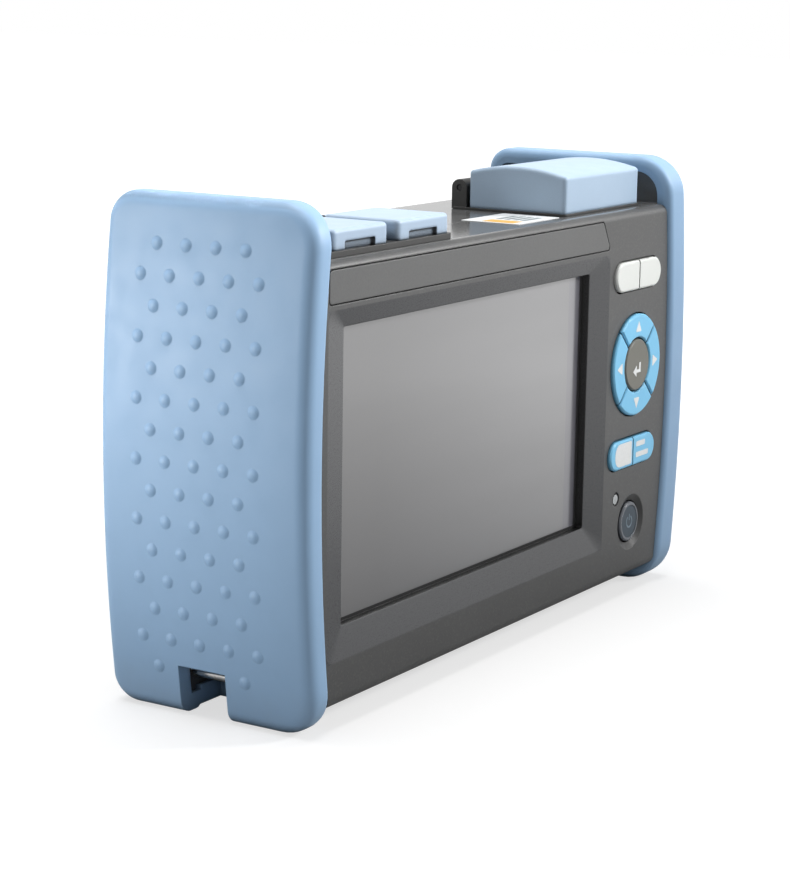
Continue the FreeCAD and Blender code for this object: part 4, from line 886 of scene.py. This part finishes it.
def rounded_outline(points, radii, steps=5):
    """Polygon with each corner rounded by its own radius."""
    outline = []
    for i, corner in enumerate(points):
        here = Vector(corner)
        before = (Vector(points[i - 1]) - here).normalized()
        after = (Vector(points[(i + 1) % len(points)]) - here).normalized()
        half = before.angle(after) / 2
        run = radii[i] / math.tan(half)
        start, end = here + before * run, here + after * run
        middle = here + (before + after).normalized() * (radii[i] / math.sin(half))
        for k in range(steps + 1):
            point = start.lerp(end, k / steps)
            outline.append(tuple(middle + (point - middle).normalized() * radii[i]))
    return outline


# %% [markdown]
# The window has a matt black border along its foot. It is printed on the film's front, so it is a plate
# too.

# %% Black border of the window
border_ink = ink_finish("border_ink", (0.004, 0.004, 0.004), 0.85)
BORDER_SLACK = 0.1
window_left = SCREEN_LOW.x + PANEL_MARGIN + BORDER_SLACK
window_right = SCREEN_HIGH.x - PANEL_MARGIN - BORDER_SLACK
window_foot = SCREEN_LOW.z + PANEL_MARGIN + BORDER_SLACK
foot_strip = rectangle(window_left, window_right, window_foot, FOOT_EDGE)
printed("window_border", [foot_strip], SCREEN_LOW.y, border_ink, "instrument")
print("window border over x", round(window_left, 1), "to", round(window_right, 1))

# %% [markdown]
# The triangles are one outline turned about the pad's middle. They keep upright proportions, so only the
# outline's direction changes from key to key.

# %% Direction triangles and return arrow
ENTER_LOW, ENTER_HIGH = span_mm("enter_key")
PAD_X = (ENTER_LOW.x + ENTER_HIGH.x) / 2
PAD_Z = (ENTER_LOW.z + ENTER_HIGH.z) / 2
KEY_FACE_Y = ENTER_LOW.y
SIGN_RADIUS = 10.1
SIGN_HALF_BASE = 1.6
SIGN_TALL = 2.9
TIP_SHARE = 0.55
TIP_ROUND, BASE_ROUND = 0.18, 0.25
for key, degrees in (("right_key", 0), ("up_key", 90), ("left_key", 180), ("down_key", 270)):
    turn = math.radians(degrees)
    tip = SIGN_RADIUS + SIGN_TALL * TIP_SHARE
    base = tip - SIGN_TALL
    corners = []
    for out, along in ((tip, 0.0), (base, SIGN_HALF_BASE), (base, -SIGN_HALF_BASE)):
        corners.append((PAD_X + out * math.cos(turn) - along * math.sin(turn),
                        PAD_Z + out * math.sin(turn) + along * math.cos(turn)))
    sign = rounded_outline(corners, (TIP_ROUND, BASE_ROUND, BASE_ROUND))
    printed(key + "_sign", [sign], KEY_FACE_Y, white_ink, key + "_body")

ARROW_X, ARROW_Z = PAD_X - 0.2, PAD_Z - 1.7
HALF_STROKE, HOOK_WIDTH = 0.425, 0.85
HEAD_TIP, HEAD_BACK, HEAD_HALF = -2.3, -0.3, 1.5
HOOK_RIGHT, HOOK_UP = 2.0, 2.2
arrow_shape = [(HEAD_TIP, 0.0), (HEAD_BACK, -HEAD_HALF), (HEAD_BACK, -HALF_STROKE),
               (HOOK_RIGHT, -HALF_STROKE), (HOOK_RIGHT, HOOK_UP), (HOOK_RIGHT - HOOK_WIDTH, HOOK_UP),
               (HOOK_RIGHT - HOOK_WIDTH, HALF_STROKE), (HEAD_BACK, HALF_STROKE), (HEAD_BACK, HEAD_HALF)]
arrow = [(ARROW_X + x, ARROW_Z + z) for x, z in arrow_shape]
printed("return_sign", [arrow], KEY_FACE_Y, white_ink, "enter_key_body")
print("pad middle at", round(PAD_X, 2), round(PAD_Z, 2))

# %% [markdown]
# The lower pill has a white field on its left half, rounded to follow the pill's end, and two short white
# bars on its right half where words would be.

# %% Fields on the lower pill
MENU_LOW, MENU_HIGH = span_mm("menu_key")
FLANGE = 0.9
END_GAP, JOINT_GAP, FOOT_GAP, TOP_GAP = 2.6, 0.55, 0.85, 0.75
END_ROUND, JOINT_ROUND = 2.6, 0.5
field = rectangle(MENU_LOW.x + FLANGE + END_GAP, MENU_HIGH.x - JOINT_GAP,
                  MENU_LOW.z + FLANGE + FOOT_GAP, MENU_HIGH.z - FLANGE - TOP_GAP)
field = rounded_outline(field, (END_ROUND, JOINT_ROUND, JOINT_ROUND, END_ROUND), 8)
printed("menu_field", [field], KEY_FACE_Y, white_ink, "menu_key_body")

bar_left = span_mm("setup_key")[0].x + 1.5
BAR_ROUND = 0.4
bars = []
for foot, top, long in ((40.4, 41.8, 5.2), (37.5, 38.9, 7.2)):
    bars.append(rounded_outline(rectangle(bar_left, bar_left + long, foot, top), (BAR_ROUND,) * 4, 4))
printed("setup_bars", bars, KEY_FACE_Y, white_ink, "setup_key_body")
print("bars start at x", round(bar_left, 1))

# %% [markdown]
# The power sign is an open ring with a stroke through its gap. It is only a little lighter than the disc.

# %% Power sign
SIGN_OUTER, SIGN_INNER = 1.75, 1.3
GAP_ANGLE = 32
ARC_STEPS = 26
STROKE_HALF, STROKE_FOOT, STROKE_TOP, STROKE_ROUND = 0.22, 0.3, 2.1, 0.1
sweep = [math.radians(90 + GAP_ANGLE + (360 - 2 * GAP_ANGLE) * k / ARC_STEPS) for k in range(ARC_STEPS + 1)]
open_ring = [(POWER_X + SIGN_OUTER * math.cos(a), POWER_Z + SIGN_OUTER * math.sin(a)) for a in sweep]
open_ring += [(POWER_X + SIGN_INNER * math.cos(a), POWER_Z + SIGN_INNER * math.sin(a))
              for a in reversed(sweep)]
stroke = rounded_outline(rectangle(POWER_X - STROKE_HALF, POWER_X + STROKE_HALF, POWER_Z + STROKE_FOOT,
                                   POWER_Z + STROKE_TOP), (STROKE_ROUND,) * 4, 3)
printed("power_sign", [open_ring, stroke], DISC_LOW.y, pale_ink, "power_key_body")
print("power sign at", round(POWER_X, 1), round(POWER_Z, 1))

# %% [markdown]
# ## The deck label
#
# A white sticker lies on the deck beside the optical cover. It is left without words: an orange block and
# four grey bars stand in for its printing. The sticker is a thin rounded plate, and each block is a
# thinner plate on top of it.

# %% Deck label
LABEL_X = (7.5, 28.8)
LABEL_Y = (-21.6, -5.4)
LABEL_T = 0.12
LABEL_LIFT = 0.01
PRINT_T = 0.03
PRINT_ROUND = 0.2
ORANGE_X, ORANGE_Y = (1.3, 6.3), (2.2, 11.0)
LINE_X = (8.2, 17.0)
LINE_PITCH, LINE_DEPTH = 2.3, 1.5
label_white = ink_finish("label_white", (0.80, 0.82, 0.82), 0.35)
label_orange = ink_finish("label_orange", (0.86, 0.46, 0.09), 0.35)
label_grey = ink_finish("label_grey", (0.26, 0.29, 0.29), 0.35)


def deck_plate(name, x_range, y_range, low_z, high_z, radius, ink):
    mesh = bmesh.new()
    outline = rounded_outline(rectangle(*x_range, *y_range), (radius,) * 4, 6)
    top = [mesh.verts.new(Vector((x, y, high_z)) * MM) for x, y in outline]
    foot = [mesh.verts.new(Vector((x, y, low_z)) * MM) for x, y in outline]
    mesh.faces.new(top)
    mesh.faces.new(foot[::-1])
    for i in range(len(outline)):
        mesh.faces.new((top[i - 1], top[i], foot[i], foot[i - 1]))
    plate = to_object(mesh, name)
    plate.data.materials.append(ink)
    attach(plate, "instrument")
    return plate


label_top = DECK_Z + LABEL_T
label_left, label_front = LABEL_X[0], LABEL_Y[0]
deck_plate("deck_label", LABEL_X, LABEL_Y, DECK_Z + LABEL_LIFT, label_top, 0.6, label_white)
deck_plate("deck_label_orange", (label_left + ORANGE_X[0], label_left + ORANGE_X[1]),
           (label_front + ORANGE_Y[0], label_front + ORANGE_Y[1]),
           label_top, label_top + PRINT_T, PRINT_ROUND, label_orange)
for row in range(4):
    rear = label_front + ORANGE_Y[1] - row * LINE_PITCH
    deck_plate(f"deck_label_line_{row}", (label_left + LINE_X[0], label_left + LINE_X[1]),
               (rear - LINE_DEPTH, rear), label_top, label_top + PRINT_T, PRINT_ROUND, label_grey)
print("label on the deck at z", round(DECK_Z, 1))

# %% [markdown]
# ## Studio floor, light and background
#
# The instrument stands on a white table in white surroundings. The world is plain white for the camera.
# As a light it is much dimmer, so it fills the shadows without washing them out. Reflections see a bright
# band near the table and a darker studio above it, and that difference is what shapes glossy edges.

# %% World
FILL = 0.28
SWEEP_TOP = 0.32
STUDIO_DARK = 0.7
world = bpy.data.worlds.new("white_studio")
world.use_nodes = True
bpy.context.scene.world = world
sky = world.node_tree
sky.nodes.clear()
ray = add(sky, "LightPath")
aim = add(sky, "SeparateXYZ", {"Vector": add(sky, "TexCoord").outputs["Generated"]}).outputs["Z"]
mirrored = between(sky, aim, 1.0, FILL, SWEEP_TOP, STUDIO_DARK)
glossy = add(sky, "Math", {0: ray.outputs["Is Glossy Ray"], 1: ray.outputs["Is Transmission Ray"]},
             operation="MAXIMUM").outputs[0]
unseen = add(sky, "Mix", {0: glossy, 2: FILL, 3: mirrored}).outputs[0]
level = add(sky, "Mix", {0: ray.outputs["Is Camera Ray"], 2: unseen, 3: 1.0}).outputs[0]
backdrop = add(sky, "Background", {"Color": (1.0, 1.0, 1.0, 1.0), "Strength": level})
sky.links.new(backdrop.outputs[0], add(sky, "OutputWorld").inputs["Surface"])
print("fill light:", FILL)

# %% [markdown]
# The floor is grey paper with a glow that only the camera and reflections see. The camera sees an even
# lift on top of the lit paper, so open floor is white and the contact shadow stays. Further out the lift
# grows to full white, which hides the far edge. Reflections see a floor that is dark close by and bright
# from 40 cm on, which gives the screen its soft change from a dark foot to a bright top.

# %% Floor
FLOOR_HALF = 4.0
NEAR_GLOW, FAR_GLOW = 0.12, 0.60
CAMERA_LIFT = 0.66
MIRROR_LEVEL, MIRROR_START, MIRROR_REACH = 0.90, 0.07, 0.42
FLOOR_DROP = 0.02
floor_mesh = bmesh.new()
bmesh.ops.create_grid(floor_mesh, x_segments=1, y_segments=1, size=FLOOR_HALF)
floor = to_object(floor_mesh, "studio_floor")
floor.location.z = -FLOOR_DROP * MM

paper = bpy.data.materials.new("white_paper")
paper.use_nodes = True
sheet = paper.node_tree
sheet.nodes.clear()
spot = add(sheet, "TexCoord").outputs["Object"]
fibre = add(sheet, "TexNoise", {"Vector": spot, "Scale": 600.0})
tone = blend(sheet, fibre.outputs["Fac"], (0.36, 0.36, 0.36), (0.39, 0.39, 0.39))
sheet_ray = add(sheet, "LightPath")
reach = add(sheet, "VectorMath", {0: spot}, operation="LENGTH").outputs["Value"]
far = between(sheet, reach, 0.0, 1.0, NEAR_GLOW, FAR_GLOW)
bright = between(sheet, reach, 0.0, MIRROR_LEVEL, MIRROR_START, MIRROR_REACH)
lift = add(sheet, "Mix", {0: far, 2: CAMERA_LIFT, 3: 1.0}).outputs[0]
seen = times(sheet, sheet_ray.outputs["Is Camera Ray"], lift)
mirror = times(sheet, sheet_ray.outputs["Is Glossy Ray"], bright)
glow = add(sheet, "Emission", {"Color": (1.0, 1.0, 1.0, 1.0), "Strength": plus(sheet, seen, mirror)})
both = add(sheet, "AddShader")
sheet.links.new(add(sheet, "BsdfDiffuse", {"Color": tone}).outputs[0], both.inputs[0])
sheet.links.new(glow.outputs[0], both.inputs[1])
sheet.links.new(both.outputs[0], add(sheet, "OutputMaterial").inputs["Surface"])
floor.data.materials.append(paper)
print("floor is", 2 * FLOOR_HALF, "m wide")

# %% [markdown]
# Three soft lamps do the modelling. The large one overhead makes the tops almost white. A smaller one
# from the front right keeps the keys and the fronts of the caps readable, and its beam is narrow, so the
# foot of the case stays darker than its top. A thin upright strip behind on the left grazes the bowed
# face, so that each bead gets a light side and a dark side. It is flagged off everything but the boots.


# %% Lamps
def softbox(name, place, aim, width, height, power, spread=180):
    data = bpy.data.lights.new(name, "AREA")
    data.shape = "RECTANGLE"
    data.size = width
    data.size_y = height
    data.energy = power
    data.spread = math.radians(spread)
    lamp_object = bpy.data.objects.new(name, data)
    lamp_object.visible_camera = False
    lamp_object.location = place
    lamp_object.rotation_euler = (Vector(aim) - Vector(place)).to_track_quat("-Z", "Y").to_euler()
    bpy.context.scene.collection.objects.link(lamp_object)
    return lamp_object


softbox("overhead_box", (0.0, 0.15, 1.05), (0.0, 0.0, 0.05), 0.8, 0.8, 10.8)
softbox("front_right_box", (0.65, -0.8, 0.62), (0.0, 0.0, 0.26), 0.2, 0.2, 0.78, 32)
strip_box = softbox("rear_left_strip", (-0.75, 0.6, 0.12), (-0.0925, 0.028, 0.075), 0.03, 0.11, 0.022, 9.2)
lit_boots = bpy.data.collections.new("lit_by_strip")
for boot in boots:
    lit_boots.objects.link(boot)
strip_box.light_linking.receiver_collection = lit_boots

# %% [markdown]
# ## The end

# The visual model has to stay inside the CAD model's box.

# %% Finish
import json
